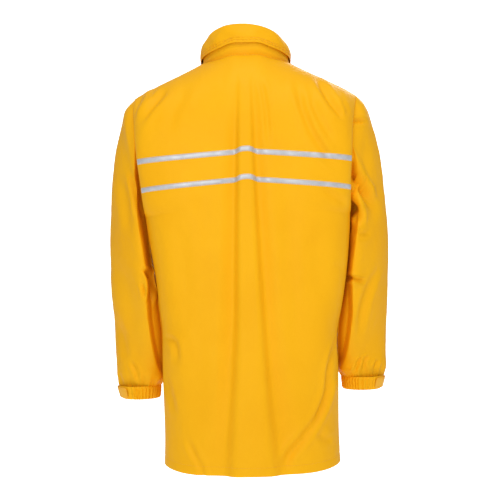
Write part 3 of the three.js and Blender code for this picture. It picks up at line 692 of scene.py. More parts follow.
def sleeve_cloth(side, angle, along):
    """The sleeve's face with its tuck behind the body's edge, its folds and the gathers above the cuff."""
    points = sleeve_face(side, angle, along)
    x, height = points[..., 0].copy(), points[..., 2]
    backward = smoothstep(np.sin(angle) / 0.45)
    free = smoothstep(along / 0.35)
    beside = smoothstep((half_width(height) + tuck_width(height) + 4 - x) / 8)
    tuck = SLEEVE_TUCK[side](height) * beside * backward * free
    normals = grid_normals(points, wrap=True, turn=-1)
    relief = fold_relief(x, height, SLEEVE_FOLDS[side]) * backward
    relief = relief + fold_relief(x, height, SLEEVE_FRONT_FOLDS) * smoothstep(-np.sin(angle) / 0.45)
    relief = relief + 1.1 * waves(points * [1, 1, 0.55], 74, 31 + side)
    relief = relief + 0.16 * waves(points, 21, 17 + side)
    above_cuff = np.maximum((LAST_SECTION - along) * SECTION_PITCH, 0)
    pleats = gather_wave(angle, side)
    broad = 0.5 - 0.5 * np.cos(13 * angle + 1.7 * np.sin(2 * angle + side))
    blouse = 2.6 + 5 * smoothstep(-np.cos(angle) * 1.5)
    relief = relief * free * smoothstep(above_cuff / 14)
    relief = relief - 2.0 * pleats * np.exp(-above_cuff / 9)
    relief = relief - 2.4 * broad * np.exp(-((above_cuff - 12) / 14) ** 2)
    relief = relief + blouse * np.exp(-((above_cuff - 20) / 16) ** 2)
    relief = relief - 1.6 * smoothstep(1 - along / 0.12) * smoothstep((TUCK_TOP - height) / TUCK_FADE)
    points = points + normals * relief[..., None]
    points[..., 1] -= tuck
    return swayed(mirrored(points, side), 1 - smoothstep(along / 3))


def sleeve(side, word, finish):
    angles = np.linspace(0, 2 * math.pi, 190, endpoint=False)
    stages = ((0, 1.2, 40), (1.2, 8, 120), (8, LAST_SECTION, 45))
    rows = [np.linspace(start, end, steps, endpoint=False) for start, end, steps in stages]
    angle, along = np.meshgrid(angles, np.concatenate(rows + [[LAST_SECTION]]))
    grid = sleeve_cloth(side, angle, along)
    piece = cloth(f"sleeve_{word}_cloth", grid, CLOTH_THICKNESS, finish, wrap=True, turn=-side)
    settle(piece, None, "coated_cloth", f"sleeve_{word}")
    follow_sleeve(piece, word, along)


def follow_sleeve(piece, word, along):
    """The armhole's edge stays with the coat, and the cloth passes over to the sleeve further down."""
    joint = next(j for j in frame["joints"] if j["name"] == f"{word}_sleeve_raise")
    shoulder = Vector(joint["pos_m"])
    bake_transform(piece, "coat", f"{word}_sleeve", start=shoulder, end=shoulder - Vector((0, 0, 0.1)))
    weights = smoothstep(along / 3.4).ravel().astype(np.float32)
    attribute = piece.data.attributes["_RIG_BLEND"]
    layers = len(attribute.data) // len(weights)
    attribute.data.foreach_set("value", np.tile(weights, layers))


# ---------------------------------------------------------------- cuffs


# The cuff's middle across, its half width and its half depth, at its foot and at its top.
CUFF_FOOT = np.array([225, 39, 46])
CUFF_HEAD = np.array([227.5, 43.5, 51.5])

# Where the tab and the patch under it lie: their heights on the cuff, and their angles round the wrist.
TAB_START = -0.5
TAB_END = 1.02
TAB_LOW = 3
TAB_HIGH = 24
TAB_INSET = -2.7
TAB_LIFT = 0.9


def cuff_point(side, angle, inset, height):
    """A point round the wrist: angle 0 is the outer side and pi / 2 the back, and inset is inward."""
    rise = height / CUFF_HEIGHT
    middle, half_across, half_deep = [lerp(a, b, rise) for a, b in zip(CUFF_FOOT, CUFF_HEAD)]
    x = middle + (half_across - inset) * np.cos(angle)
    y = CUFF_CENTRE_Y + (half_deep - inset) * np.sin(angle)
    z = CUFF_TOP - CUFF_HEIGHT + height + CUFF_LIFT[side] + 0 * angle
    return np.stack([side * x, y, z], axis=-1)


def cuff_grid(side, profile, angles, relief, samples):
    """Rows of a band round the wrist, whose profile is (inset, height) points."""
    rows = []
    for inset, height in curve_through(profile, samples):
        rows.append(cuff_point(side, angles, inset + relief(angles, height), height))
    return np.array(rows)


def cuff_casing(side, word, finish, knit):
    """The gathered channel for the elastic: down the outside, round the lower edge and up the inside."""
    angles = np.linspace(0, 2 * math.pi, 320, endpoint=False)

    def pleats(angle, height):
        centred = (angle + 1.8) % (2 * math.pi) - 1.8
        under_tab = smoothstep((centred + 0.6) / 0.2) * smoothstep((1.12 - centred) / 0.2)
        fine = 0.5 * np.sin(angle * 71 + height * 0.5) * np.sin(angle * 5 + height * 0.15)
        depth = 2.5 - 1.3 * smoothstep((height - 19) / 7)
        return (depth * gather_wave(angle + 0.02 * np.sin(height / 4), side) + fine) * (1 - 0.92 * under_tab)

    outside = [(1.6, 26.6), (0.2, 25.5), (-0.8, 23.2), (-1.1, 19), (-1.1, 13), (-0.7, 4)]
    inside = [(0.9, 0.4), (2.9, -0.3), (4.6, 0.6), (5.6, 5), (5.8, 14), (5.6, 24.5)]
    grid = cuff_grid(side, outside + inside, angles, pleats, 48)
    piece = cloth(f"cuff_{word}_casing_cloth", grid, 0.8, finish, knit, wrap=True, turn=-side)
    return settle(piece, f"{word}_sleeve", "coated_cloth", f"cuff_casing_{word}")


def cuff_elastic(side, word, finish):
    angles = np.linspace(0, 2 * math.pi, 240, endpoint=False)
    profile = [(3.3, 21), (2.9, 18), (3.3, 15), (2.9, 12), (3.3, 9), (2.9, 6), (3.3, 3)]

    def ribs(angle, height):
        return 0.2 * np.sin(angle * 60)

    grid = cuff_grid(side, profile, angles, ribs, 30)
    piece = cloth(f"cuff_{word}_elastic_band", grid, 0.8, finish, wrap=True, turn=-side)
    return settle(piece, f"{word}_sleeve", "elastic_band", f"cuff_elastic_{word}")


def band_patch(side, name, low, high, start, end, inset, thickness, finish, lift_end=0.0):
    """A flat patch on the cuff with round corners at its far end."""
    angles = np.linspace(start, end, 90)
    radius = 6
    near_end = np.clip((angles - end) * 42 / radius + 1, 0, 1)
    trim = radius * (1 - np.sqrt(1 - near_end ** 2))
    grid = []
    for up in np.linspace(0, 1, 24):
        height = lerp(low + trim, high - trim, up)
        bow = 0.35 * math.sin(math.pi * up)
        lifted = inset - bow - lift_end * smoothstep((angles - start) / (end - start))
        grid.append(cuff_point(side, angles, lifted, height))
    return cloth(name, np.array(grid)[::-1], thickness, finish, turn=-side)


def cuff_tab(side, word, pale):
    piece = band_patch(
        side, f"cuff_{word}_tab_cloth", TAB_LOW, TAB_HIGH, TAB_START, TAB_END, TAB_INSET, 1.1, pale, TAB_LIFT,
    )
    settle(piece, f"{word}_cuff_tab", "pale_cloth", f"cuff_tab_{word}")
    lines = []
    for height in (TAB_LOW + 2.2, TAB_HIGH - 2.2):
        angles = np.linspace(TAB_START + 0.04, TAB_END - 0.09, 80)
        insets = TAB_INSET - 0.3 - TAB_LIFT * smoothstep((angles - TAB_START) / (TAB_END - TAB_START))
        lines.append(patch_line(side, angles, insets, height + 0 * angles))
    heights = np.linspace(TAB_LOW + 3, TAB_HIGH - 3, 30)
    for angle, inset in ((TAB_START + 0.06, -3.05), (TAB_END - 0.07, -3.9)):
        lines.append(patch_line(side, angle + 0 * heights, inset, heights))
    stitches(f"cuff_{word}_tab_stitching", lines, pale, f"{word}_cuff_tab", "pale_cloth", pitch=2.8)


def patch_line(side, angles, insets, heights):
    normals = np.stack([side * np.cos(angles), np.sin(angles), 0 * angles], axis=1)
    return cuff_point(side, angles, insets, heights), normals


def cuff_loop_patch(side, word, fuzz):
    """The soft half of the hook and loop, under the tab."""
    piece = band_patch(side, f"cuff_{word}_loop_pile", TAB_LOW + 2, TAB_HIGH - 2, -0.3, 0.85, -1.4, 0.5, fuzz)
    return settle(piece, f"{word}_sleeve", "hook_and_loop", f"cuff_loop_patch_{word}")


# ---------------------------------------------------------------- collar and hood

COLLAR_REACH = math.pi - 0.075
LINING_REACH = math.pi - 0.14
rim_height = through([(-1, 800), (-0.5, 815), (0, 838), (0.34, 851), (0.56, 860), (0.8, 869), (1, 875)])


def collar_top_at(turn):
    """The collar's rim, a little lower on the wearer's right."""
    return rim_height(np.cos(turn)) + 5 * np.sin(turn)


def collar_point(turn, offset, height):
    """A point round the neck: turn 0 is the centre back, pi the front, and offset is outward."""
    side = np.where(np.cos(turn) >= 0, 1, -1)
    power = np.where(side > 0, 1, 2 / NECK_FRONT_SQUARENESS)
    x = NECK_HALF_WIDTH * np.abs(np.sin(turn)) ** power * np.sign(np.sin(turn))
    y = NECK_CENTRE_Y + side * NECK_HALF_DEPTH * np.abs(np.cos(turn)) ** power
    height = height + 0 * turn
    return np.stack([x + offset * np.sin(turn), y + offset * np.cos(turn), height], axis=-1)


def neck_seam(turn):
    """The body's upper edge at a turn round the neck."""
    across = np.abs(collar_point(turn, 0, 0)[..., 0]) / SHOULDER_HALF_WIDTH
    back = body_face(1, across, TOP_ROW)
    front = body_face(-1, across, TOP_ROW)
    points = np.where((np.cos(turn) >= 0)[..., None], back, front)
    points[..., 0] *= np.sign(np.sin(turn))
    return points


def seam_height(turn):
    return neck_seam(turn)[..., 2]


def band_edge(turn):
    """The upper band's lower edge: well above the neck seam at the centre back, and near it in front."""
    return seam_height(turn) + 3 + 18.5 * np.maximum(0, np.cos(turn)) ** 0.8


def collar_bulk(turn):
    bulk = lerp(COLLAR_BACK_BULK, COLLAR_FRONT_BULK, smoothstep((np.abs(turn) - 1.7) / 1.1))
    at_front = smoothstep((np.abs(turn) - COLLAR_REACH + 0.1) / 0.1)
    return lerp(bulk, 3.2, at_front)


def collar_turns(steps, reach=COLLAR_REACH):
    return np.linspace(-reach, reach, steps)


def collar_stand(finish):
    turn = collar_turns(300)
    seam = neck_seam(turn)
    low = seam[..., 2]
    rows = []
    for up in np.linspace(0, 1, 26):
        height = low - 6 + up * (band_edge(turn) + 13.5 - low)
        lean = smoothstep((up * 30) / 14)
        on_seam = np.stack([seam[..., 0] * 0.985, lerp(NECK_CENTRE_Y, seam[..., 1], 0.98), height], axis=-1)
        puff = -0.6 + 0.9 * math.sin(math.pi * min(up * 1.5, 1))
        puff = puff + 0.25 * waves(collar_point(turn, 0, height), 34, 8)
        rows.append(lerp(on_seam, collar_point(turn, puff, height), lean))
    piece = cloth("collar_stand_cloth", np.array(rows), 1.0, finish, turn=-1)
    return settle(piece, "coat", "coated_cloth", "collar_stand")


BAND_STITCH_HEIGHTS = (4.6, 8.8)

# The upper band's section from its lower edge over the rim to the inside: a wall, the rim's outer half,
# its inner half, and a drop. These are the shares of the way at which they begin and end.
BAND_STAGES = (0, 0.22, 0.55, 0.82, 1)
BAND_WALL = 10
BAND_DROP = (12, 22)


def band_profile(turn, t):
    """The upper band's offset and height: t runs from its lower edge (0) over the rim to the inside (1)."""
    edge, top, bulk = band_edge(turn), collar_top_at(turn), collar_bulk(turn)
    outer_wall = edge + BAND_WALL
    inner_wall, inside_low = [top - depth for depth in BAND_DROP]
    wall, over, down, drop = [
        np.clip((t - start) / (end - start), 0, 1) for start, end in zip(BAND_STAGES[:-1], BAND_STAGES[1:])
    ]
    dome, fall = over * math.pi / 2, down * math.pi / 2
    outside = 4.6 - 1.8 * smoothstep((np.abs(turn) - 2.8) / 0.13)
    middle = 0.5 * (outside - bulk)
    stages = [t < stage_end for stage_end in BAND_STAGES[1:4]]
    offset = np.select(stages, [
        outside - 0.6 * (1 - smoothstep(wall)),
        middle + (outside - middle) * np.cos(dome) ** 0.9,
        middle - (middle + bulk) * np.sin(fall),
    ], -bulk)
    height = np.select(stages, [
        lerp(edge, outer_wall, wall),
        outer_wall + (top - outer_wall) * np.sin(dome),
        inner_wall + (top - inner_wall) * np.cos(fall),
    ], lerp(inner_wall, inside_low, drop))
    return offset, height


def collar_upper_band(finish):
    turn = collar_turns(360)
    rim = BAND_STAGES[1]
    rows = []
    for t in np.concatenate([np.linspace(0, rim, 34, endpoint=False), np.linspace(rim, 1, 56)]):
        offset, height = band_profile(turn, np.full_like(turn, t))
        if t < 0.3:
            above = height - band_edge(turn)
            for row in BAND_STITCH_HEIGHTS:
                offset = offset - 0.55 * np.exp(-((above - row) ** 2))
            ruffle = np.sin(turn * 52 + 2 * np.sin(turn * 9)) * np.exp(-(((above - 6.5) / 4.5) ** 2))
            offset = offset + 0.35 * ruffle
        free = smoothstep(t / 0.3) * smoothstep((1 - t) / 0.2)
        here = collar_point(turn, offset, height)
        offset = offset + 0.9 * free * waves(here * [1, 1, 1.6], 46, 3)
        rows.append(collar_point(turn, offset, height))
    piece = cloth("collar_upper_band_cloth", np.array(rows), 1.0, finish, turn=-1)
    return settle(piece, "coat", "coated_cloth", "collar_upper_band")


def collar_stitching(finish):
    lines = []
    turn = collar_turns(700)
    normals = np.stack([np.sin(turn), np.cos(turn), 0 * turn], axis=1)
    for above in BAND_STITCH_HEIGHTS:
        offset, height = band_profile(turn, np.full_like(turn, BAND_STAGES[1] * above / BAND_WALL))
        lines.append((collar_point(turn, offset - 0.5, height), normals))
    return stitches("collar_band_stitching", lines, finish, "coat", "coated_cloth", pitch=3.0, width=0.6)


def collar_lining(finish):
    turn = collar_turns(240, LINING_REACH)
    seam, top, bulk = seam_height(turn), collar_top_at(turn), collar_bulk(turn)
    rows = []
    for t in np.linspace(0, 1, 34):
        upper = np.clip(t / 0.6, 0, 1)
        lower = np.clip((t - 0.6) / 0.4, 0, 1)
        offset = lerp(-bulk, np.minimum(-3.4, -bulk + 21), smoothstep(lower))
        height = lerp(lerp(top - 20.5, seam + 12, upper), seam + 3.2, lower ** 1.4)
        soft = 0.8 * math.sin(math.pi * t) * waves(collar_point(turn, offset, height), 30, 21)
        rows.append(collar_point(turn, offset + soft, height))
    piece = cloth("collar_lining_cloth", np.array(rows), 0.8, finish, turn=-1)
    return settle(piece, "coat", "lining_cloth", "collar_lining")


def collar_hook_strip(fuzz):
    turn = np.linspace(-0.88, 0.88, 160)
    rows = [collar_point(turn, 1.9, band_edge(turn) + 2 + 8 * up) for up in np.linspace(0, 1, 10)]
    piece = cloth("collar_hook_tape", np.array(rows), 0.5, fuzz, turn=-1)
    return settle(piece, "coat", "hook_and_loop", "collar_hook_strip")


def rolled_hood(finish):
    """The hood rolled up tight inside the collar, round the back and sides of the neck."""
    reach = 1.95
    turn = collar_turns(170, reach)
    taper = np.sqrt(np.clip((reach - np.abs(turn)) / 0.12, 0.02, 1))
    low, high = seam_height(turn) + 13, collar_top_at(turn) - 6
    half = (collar_bulk(turn) / 2 - 2.6) * taper
    tall = (high - low) / 2 * taper
    rows = []
    for angle in np.linspace(0, 2 * math.pi, 64, endpoint=False):
        crease = 1 - 0.10 * max(0.0, math.cos(3 * angle + 0.6)) ** 6
        spots = np.stack([turn * 60, turn * 0 + 30 * math.cos(angle), turn * 0 + 30 * math.sin(angle)], 1)
        girth = crease * (1 + 0.05 * waves(spots, 22, 4))
        offset = -collar_bulk(turn) / 2 + half * math.cos(angle) * girth
        rows.append(collar_point(turn, offset, (low + high) / 2 + tall * math.sin(angle) * girth))
    grid = np.transpose(np.array(rows), (1, 0, 2))
    stations, around = grid.shape[:2]
    faces = grid_faces(stations, around, wrap=True).tolist()
    last = (stations - 1) * around
    faces += [list(range(around))[::-1], [last + k for k in range(around)]]
    piece = new_piece("rolled_hood_cloth", grid, faces, finish)
    return settle(piece, "coat", "lining_cloth", "rolled_hood")


def hanger_loop(finish):
    """A cloth loop hanging inside the back neck, its ends sewn under the neck seam."""
    angle = np.linspace(0, math.pi, 60)
    x = -29.5 * np.sign(np.cos(angle)) * np.abs(np.cos(angle)) ** 0.6
    z = 811 - 20 * np.sin(angle) ** 0.6
    path = np.stack([x, np.full_like(x, 43.6), z], axis=1)
    outward = np.tile([0, -1.0, 0], (len(path), 1))
    across = unit_rows(np.cross(unit_rows(np.gradient(path, axis=0)), outward))
    thickness, half_width = 1.2, 4
    rows = []
    for up in np.linspace(-1, 1, 9):
        crown = thickness * 0.5 * (1 - up ** 6)
        rows.append(path + across * half_width * up + outward * crown)
    piece = cloth("hanger_loop_strip", np.array(rows), thickness, finish)
    return settle(piece, "hanger", "coated_cloth", "hanger_loop")


# ---------------------------------------------------------------- front closure

ZIP_BOTTOM = 20
ZIP_TOP = 794
ZIP_Y = -122.3
TOOTH_PITCH = 3.0
SLIDER_CENTRE = 776
FLAP_HINGE_X = 40
FLAP_FREE_X = -42
FLAP_BOTTOM = 12
FLAP_TOP = 792
FLAP_FACE_Y = -132.3
SNAP_X = -30
FLAP_SEAMS = (FLAP_FREE_X + 3, FLAP_FREE_X + 10, FLAP_HINGE_X - 3)
SNAP_HEIGHTS = [70 + 126 * k for k in range(6)]
STUD_BASE_Y = -126
SNAP_GAP = 0.3
TOOTH_LENGTH = 1.15
PULL_TOP = SLIDER_CENTRE + 8.5
PULL_LENGTH = 36


def joined_boxes(name, boxes, material):
    """One mesh of bevelled blocks, each given by its two corners."""
    points, faces = [], []
    for low, high in boxes:
        start = len(points)
        points += [(x, y, z) for x in (low[0], high[0]) for y in (low[1], high[1]) for z in (low[2], high[2])]
        quads = [(0, 1, 3, 2), (4, 6, 7, 5), (0, 4, 5, 1), (2, 3, 7, 6), (0, 2, 6, 4), (1, 5, 7, 3)]
        faces += [[start + k for k in quad] for quad in quads]
    return new_piece(name, points, faces, material, sharp=30)


def bevelled(piece, width, segments):
    bevel = piece.modifiers.new("edges", "BEVEL")
    bevel.width = width * MM
    bevel.segments = segments
    bevel.limit_method = "ANGLE"
    apply_modifiers(piece)
    piece.data.shade_smooth()
    piece.data.set_sharp_from_angle(angle=math.radians(50))
    return piece


def zip_half(side, word, woven, moulded):
    """The woven tape, and its moulded teeth, which stand between the other side's teeth."""
    x, z = np.meshgrid(side * np.linspace(2.2, 13, 14), np.linspace(ZIP_BOTTOM, ZIP_TOP, 260))
    rib = 0.12 * np.cos(x * 2.6)
    grid = np.stack([x, ZIP_Y - 0.1 - rib, z], axis=-1)
    tape = cloth(f"zip_tape_{word}_cloth", grid, 0.6, woven, turn=side)
    settle(tape, "coat", "zip_cloth", f"zip_tape_{word}")
    boxes = []
    offset = 0 if side > 0 else TOOTH_PITCH / 2
    near, far = sorted((side * 0.9, side * 4.4))
    for k in range(int((ZIP_TOP - ZIP_BOTTOM - 4) / TOOTH_PITCH)):
        low = ZIP_BOTTOM + 1 + offset + k * TOOTH_PITCH
        boxes.append(((near, -123.6, low), (far, -120.9, low + TOOTH_LENGTH)))
    teeth = joined_boxes(f"zip_teeth_{word}", boxes, moulded)
    return settle(bevelled(teeth, 0.25, 1), "coat", "zip_cloth")


def zip_hardware(metal):
    """The slider with its rivet and pull, and the box at the zip's foot."""
    centre = SLIDER_CENTRE
    plates = [
        ((-6, -127.6, centre - 10), (6, -124.5, centre + 10)),
        ((-6, -120.3, centre - 10), (6, -119.3, centre + 10)),
        ((-0.7, -124.4, centre - 8), (0.7, -120.4, centre + 9)),
    ]
    slider = bevelled(joined_boxes("zip_slider_body", plates, metal), 0.5, 3)
    settle(slider, "slider", "zip_metal", "zip_slider")
    post = [(0, 0), (1.5, 0.02), (1.5, 1.9), (2.7, 1.95), (2.8, 2.2), (2.2, 2.4), (0, 2.45)]
    rivet = turned(post, (0, -127.95, centre + 4), (0, -1, 0), "zip_pull_rivet_head", metal)
    settle(rivet, "slider", "zip_metal", "zip_pull_rivet")
    pull = zip_pull(metal)
    settle(pull, "pull", "zip_metal", "zip_pull")
    low = ZIP_BOTTOM - 11.5
    block = [
        ((-5.5, -124.3, low), (5.5, -120.3, low + 11)),
        ((-4.2, -124.6, low + 2.5), (4.2, -124.2, low + 8.5)),
    ]
    box = bevelled(joined_boxes("zip_bottom_box", block, metal), 0.6, 3)
    settle(box, "coat", "zip_metal", "zip_box")


def zip_pull(metal):
    """A flat puller with a hole for the rivet, wider at its foot."""
    n = 64
    hole = 1.9
    outline, eye = [], []
    for k in range(n):
        angle = 2 * math.pi * k / n
        squeeze = 1 if math.sin(angle) < 0 else 0.86
        x = 4 * squeeze * np.sign(math.cos(angle)) * abs(math.cos(angle)) ** 0.55
        z = PULL_LENGTH / 2 * np.sign(math.sin(angle)) * abs(math.sin(angle)) ** 0.3
        outline.append((x, PULL_TOP - PULL_LENGTH / 2 + z))
        eye.append((hole * math.cos(angle), PULL_TOP - 4.5 + hole * math.sin(angle)))
    points = [(x, y, z) for y in (-129.5, -128.3) for ring in (outline, eye) for x, z in ring]
    faces = []
    for k in range(n):
        m = (k + 1) % n
        faces.append((k, m, n + m, n + k))
        faces.append((2 * n + m, 2 * n + k, 3 * n + k, 3 * n + m))
        faces.append((m, k, 2 * n + k, 2 * n + m))
        faces.append((n + k, n + m, 3 * n + m, 3 * n + k))
    return bevelled(new_piece("zip_pull_plate", points, faces, metal, sharp=30), 0.2, 2)


def flap_grid():
    """Places on the storm flap, across and up, with round corners."""
    share, z = np.meshgrid(np.linspace(0, 1, 70), np.linspace(FLAP_BOTTOM, FLAP_TOP, 420))
    radius = 9
    from_end = np.minimum(z - FLAP_BOTTOM, FLAP_TOP - z)
    trim = radius - np.sqrt(np.maximum(radius ** 2 - np.maximum(radius - from_end, 0) ** 2, 0))
    return lerp(FLAP_FREE_X + trim, FLAP_HINGE_X - trim, share), z


def flap_bow(x, z):
    """How far the flap stands off its flat shape, always outward."""
    loose = smoothstep((FLAP_HINGE_X - 8 - x) / 50)
    near_snap = sum(np.exp(-((z - height) / 26) ** 2) for height in SNAP_HEIGHTS)
    wave = 0.5 + 0.5 * np.sin(z / 19 + 1.4 * np.sin(z / 61))
    return 1.5 * loose * wave * np.clip(1 - near_snap, 0, 1)


def storm_flap(finish):
    x, z = flap_grid()
    groove = np.zeros_like(x)
    for line in FLAP_SEAMS:
        groove += 0.35 * np.exp(-(((x - line) / 1.1) ** 2))
    y = FLAP_FACE_Y - flap_bow(x, z) + groove
    piece = cloth("storm_flap_cloth", np.stack([x, y, z], axis=-1), 1.45, finish)
    settle(piece, "flap", "coated_cloth", "storm_flap")
    lines = []
    heights = np.linspace(FLAP_BOTTOM + 10, FLAP_TOP - 10, 300)
    for line in FLAP_SEAMS:
        across = np.full_like(heights, line)
        points = np.stack([across, FLAP_FACE_Y - flap_bow(across, heights) + 0.25, heights], axis=1)
        lines.append((points, np.tile([0, -1.0, 0], (len(points), 1))))
    stitches("storm_flap_stitching", lines, finish, "flap", "coated_cloth")


def zip_guard(finish):
    """The inner guard behind the zip, sewn beside the right-hand tape."""
    x, z = np.meshgrid(np.linspace(-30, 22, 30), np.linspace(12, 712, 260))
    y = -119.0 + 0.28 * smoothstep((x + 10) / 30) * waves(np.stack([x, z], axis=-1), 60, 6)
    piece = cloth("zip_guard_cloth", np.stack([x, y, z], axis=-1), 1.0, finish)
    return settle(piece, "coat", "lining_cloth", "zip_guard")


CAP_PROFILE = [
    (0, 0), (6.9, 0.0), (7.4, 0.25), (7.5, 0.6), (7.3, 0.95), (6.9, 1.05), (6.5, 0.98), (6.2, 1.2),
    (5.2, 1.62), (3.6, 1.88), (1.8, 1.98), (0, 2.0),
]


def stud_profile(height):
    return [
        (0, 0), (5.9, 0), (6.0, 0.3), (5.8, 0.9), (5.2, 1.0), (3.0, 1.05), (2.5, 1.3), (2.35, height * 0.6),
        (2.65, height * 0.85), (2.4, height * 0.97), (1.6, height), (0, height),
    ]


def snap_cap(node, body, centre, outward, metal):
    settle(turned(CAP_PROFILE, centre, outward, f"{node}_dome", metal), body, "snap_metal", node)


def snap_stud(node, height, centre, outward, metal):
    settle(turned(stud_profile(height), centre, outward, f"{node}_post", metal), "coat", "snap_metal", node)


def storm_flap_snaps(metal):
    for k, height in enumerate(SNAP_HEIGHTS, start=1):
        snap_cap(f"flap_snap_cap_{k}", "flap", (SNAP_X, FLAP_FACE_Y - SNAP_GAP, height), (0, -1, 0), metal)
        snap_stud(f"flap_snap_stud_{k}", 4.3, (SNAP_X, STUD_BASE_Y, height), (0, -1, 0), metal)


# ---------------------------------------------------------------- front pockets

# Where a pocket and its flap lie: near and far edges as shares of the front's half width, then heights,
# and how far each stands off the front.
POCKET = {"near": 0.36, "far": 0.88, "low": 120, "high": 285, "lift": 12}
POCKET_FLAP = {"near": 0.345, "far": 0.895, "low": 238, "high": 303, "lift": 16.3}
POCKET_SNAP = 0.62
FRONT_HALF_WIDTH = 176
CLOTH_GAP = 2.3
FLAP_BEND = 26


def front_offset(side, s, height, offset):
    """A point off the front's plain face by `offset`, and the outward normal there."""
    point = body_face(-1, s, height)
    along = body_face(-1, s + SLOPE_STEP, height) - body_face(-1, s - SLOPE_STEP, height)
    outward = np.stack([along[..., 1], -along[..., 0], 0 * along[..., 0]], axis=-1)
    outward /= np.linalg.norm(outward, axis=-1, keepdims=True)
    point = point + outward * np.asarray(offset)[..., None]
    return mirrored(point, side), mirrored(outward, side)


def pocket_offset(across, up):
    full = np.minimum(1, 2.6 * np.sin(math.pi * across)) * np.minimum(1, 3 * up)
    soft = smoothstep(full)
    return CLOTH_GAP + (POCKET["lift"] - CLOTH_GAP) * soft


def flap_offset(across, up):
    return lerp(CLOTH_GAP, POCKET_FLAP["lift"], smoothstep(3.4 * (1 - up))) + 0 * across


def pocket_grid(side, area, offset_at, rows, waviness, seed):
    up, across = np.meshgrid(np.linspace(0, 1, rows), np.linspace(0, 1, 110), indexing="ij")
    s = lerp(area["near"], area["far"], across)
    height = lerp(area["low"], area["high"], up)
    offset = offset_at(across, up)
    spots = np.stack([across * 100, height], axis=-1)
    middle = np.sin(math.pi * across) * np.sin(math.pi * up)
    offset = offset + waviness * middle * waves(spots, 48, seed)
    groove = 0.3 * sum(np.exp(-((d - 2.5) / 0.9) ** 2) for d in edge_distances(area, across, up))
    return front_offset(side, s, height, offset - groove)[0]


def area_size(area):
    return (area["far"] - area["near"]) * FRONT_HALF_WIDTH, area["high"] - area["low"]


def edge_distances(area, across, up):
    """Distances in millimetres from a pocket's or flap's sides and foot."""
    width, tall = area_size(area)
    return across * width, (1 - across) * width, up * tall


def edge_line(side, area, offset_at, inset, corners):
    """A stitch line just inside a pocket's or flap's edge, from corner to corner in (across, up)."""
    keep_in = inset / np.array(area_size(area))
    path = np.array([np.clip(corner, keep_in, 1 - keep_in) for corner in corners])
    legs = [np.linspace(a, b, 90) for a, b in zip(path[:-1], path[1:])]
    across, up = np.concatenate(legs).T
    s = lerp(area["near"], area["far"], across)
    height = lerp(area["low"], area["high"], up)
    return front_offset(side, s, height, offset_at(across, up) - 0.1)


def bend_flap(piece, word):
    """The flap's sewn top edge stays on the coat, and the cloth below it turns over to the flap."""
    seam = Vector((0, 0, HEM_LEVEL + POCKET_FLAP["high"] * MM))
    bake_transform(piece, "coat", f"{word}_pocket_flap", start=seam, end=seam - Vector((0, 0, FLAP_BEND * MM)))


def front_pocket(side, word, finish, metal):
    grid = pocket_grid(side, POCKET, pocket_offset, 90, 0.7, 3)
    piece = cloth(f"pocket_{word}_cloth", grid, 0.9, finish, turn=side)
    settle(piece, "coat", "coated_cloth", f"pocket_{word}")
    grid = pocket_grid(side, POCKET_FLAP, flap_offset, 50, 0.35, 9)
    flap = cloth(f"pocket_flap_{word}_cloth", grid, 1.3, finish, turn=side)
    settle(flap, None, "coated_cloth", f"pocket_flap_{word}")
    bend_flap(flap, word)

    u_shape = [(0, 1), (0, 0), (1, 0), (1, 1)]
    lines = [edge_line(side, POCKET, pocket_offset, inset, u_shape) for inset in (2.5, 8)]
    lines.append(edge_line(side, POCKET, pocket_offset, 12, [(0.06, 1), (0.94, 1)]))
    stitches(f"pocket_{word}_stitching", lines, finish, "coat", "coated_cloth")
    lines = [edge_line(side, POCKET_FLAP, flap_offset, inset, u_shape) for inset in (2.5, 8)]
    lines.append(edge_line(side, POCKET_FLAP, flap_offset, 3, [(0, 1), (1, 1)]))
    bend_flap(stitches(f"pocket_flap_{word}_stitching", lines, finish, None, "coated_cloth"), word)

    snap_height = np.array(POCKET_FLAP["low"] + 14.0)
    base, outward = front_offset(side, np.array(POCKET_SNAP), snap_height, 0)
    on_pocket = base + outward * (POCKET["lift"] + SNAP_GAP)
    snap_stud(f"pocket_snap_stud_{word}", 2.1, on_pocket, outward, metal)
    on_flap = base + outward * (POCKET_FLAP["lift"] + SNAP_GAP)
    snap_cap(f"pocket_snap_cap_{word}", f"{word}_pocket_flap", on_flap, outward, metal)


def body_stitching(finish):
    """Thread along the back's hem, tapes and neck, and along each front's hem and front edge."""
    s = np.linspace(-0.97, 0.97, 700)
    back = [body_cloth(1, s, np.full_like(s, HEM_STITCH_HEIGHT))]
    inner = s * 0.985
    for row in TAPE_ROWS.values():
        for edge in (1.0, TAPE_WIDTH - 1.0):
            points, normals = body_cloth(1, inner, row + edge - tape_sag(inner, row))
            back.append((points + normals * 0.4, normals))
    near_neck = np.linspace(-0.385, 0.385, 300)
    back.append(body_cloth(1, near_neck, np.full_like(near_neck, TOP_ROW - 4.0)))
    stitches("back_stitching", back, finish, "coat", "coated_cloth")
    hem = np.linspace(0.06, 0.97, 300)
    up_front = np.linspace(18, YOKE_ROW, 300)
    for side, word in SIDES:
        lines = []
        for place, row in ((hem, HEM_STITCH_HEIGHT + 0 * hem), (0.104 + 0 * up_front, up_front)):
            points, normals = body_cloth(-1, place, row)
            lines.append((swayed(mirrored(points, side)), mirrored(normals, side)))
        stitches(f"front_{word}_stitching", lines, finish, "coat", "coated_cloth")


# ---------------------------------------------------------------- materials


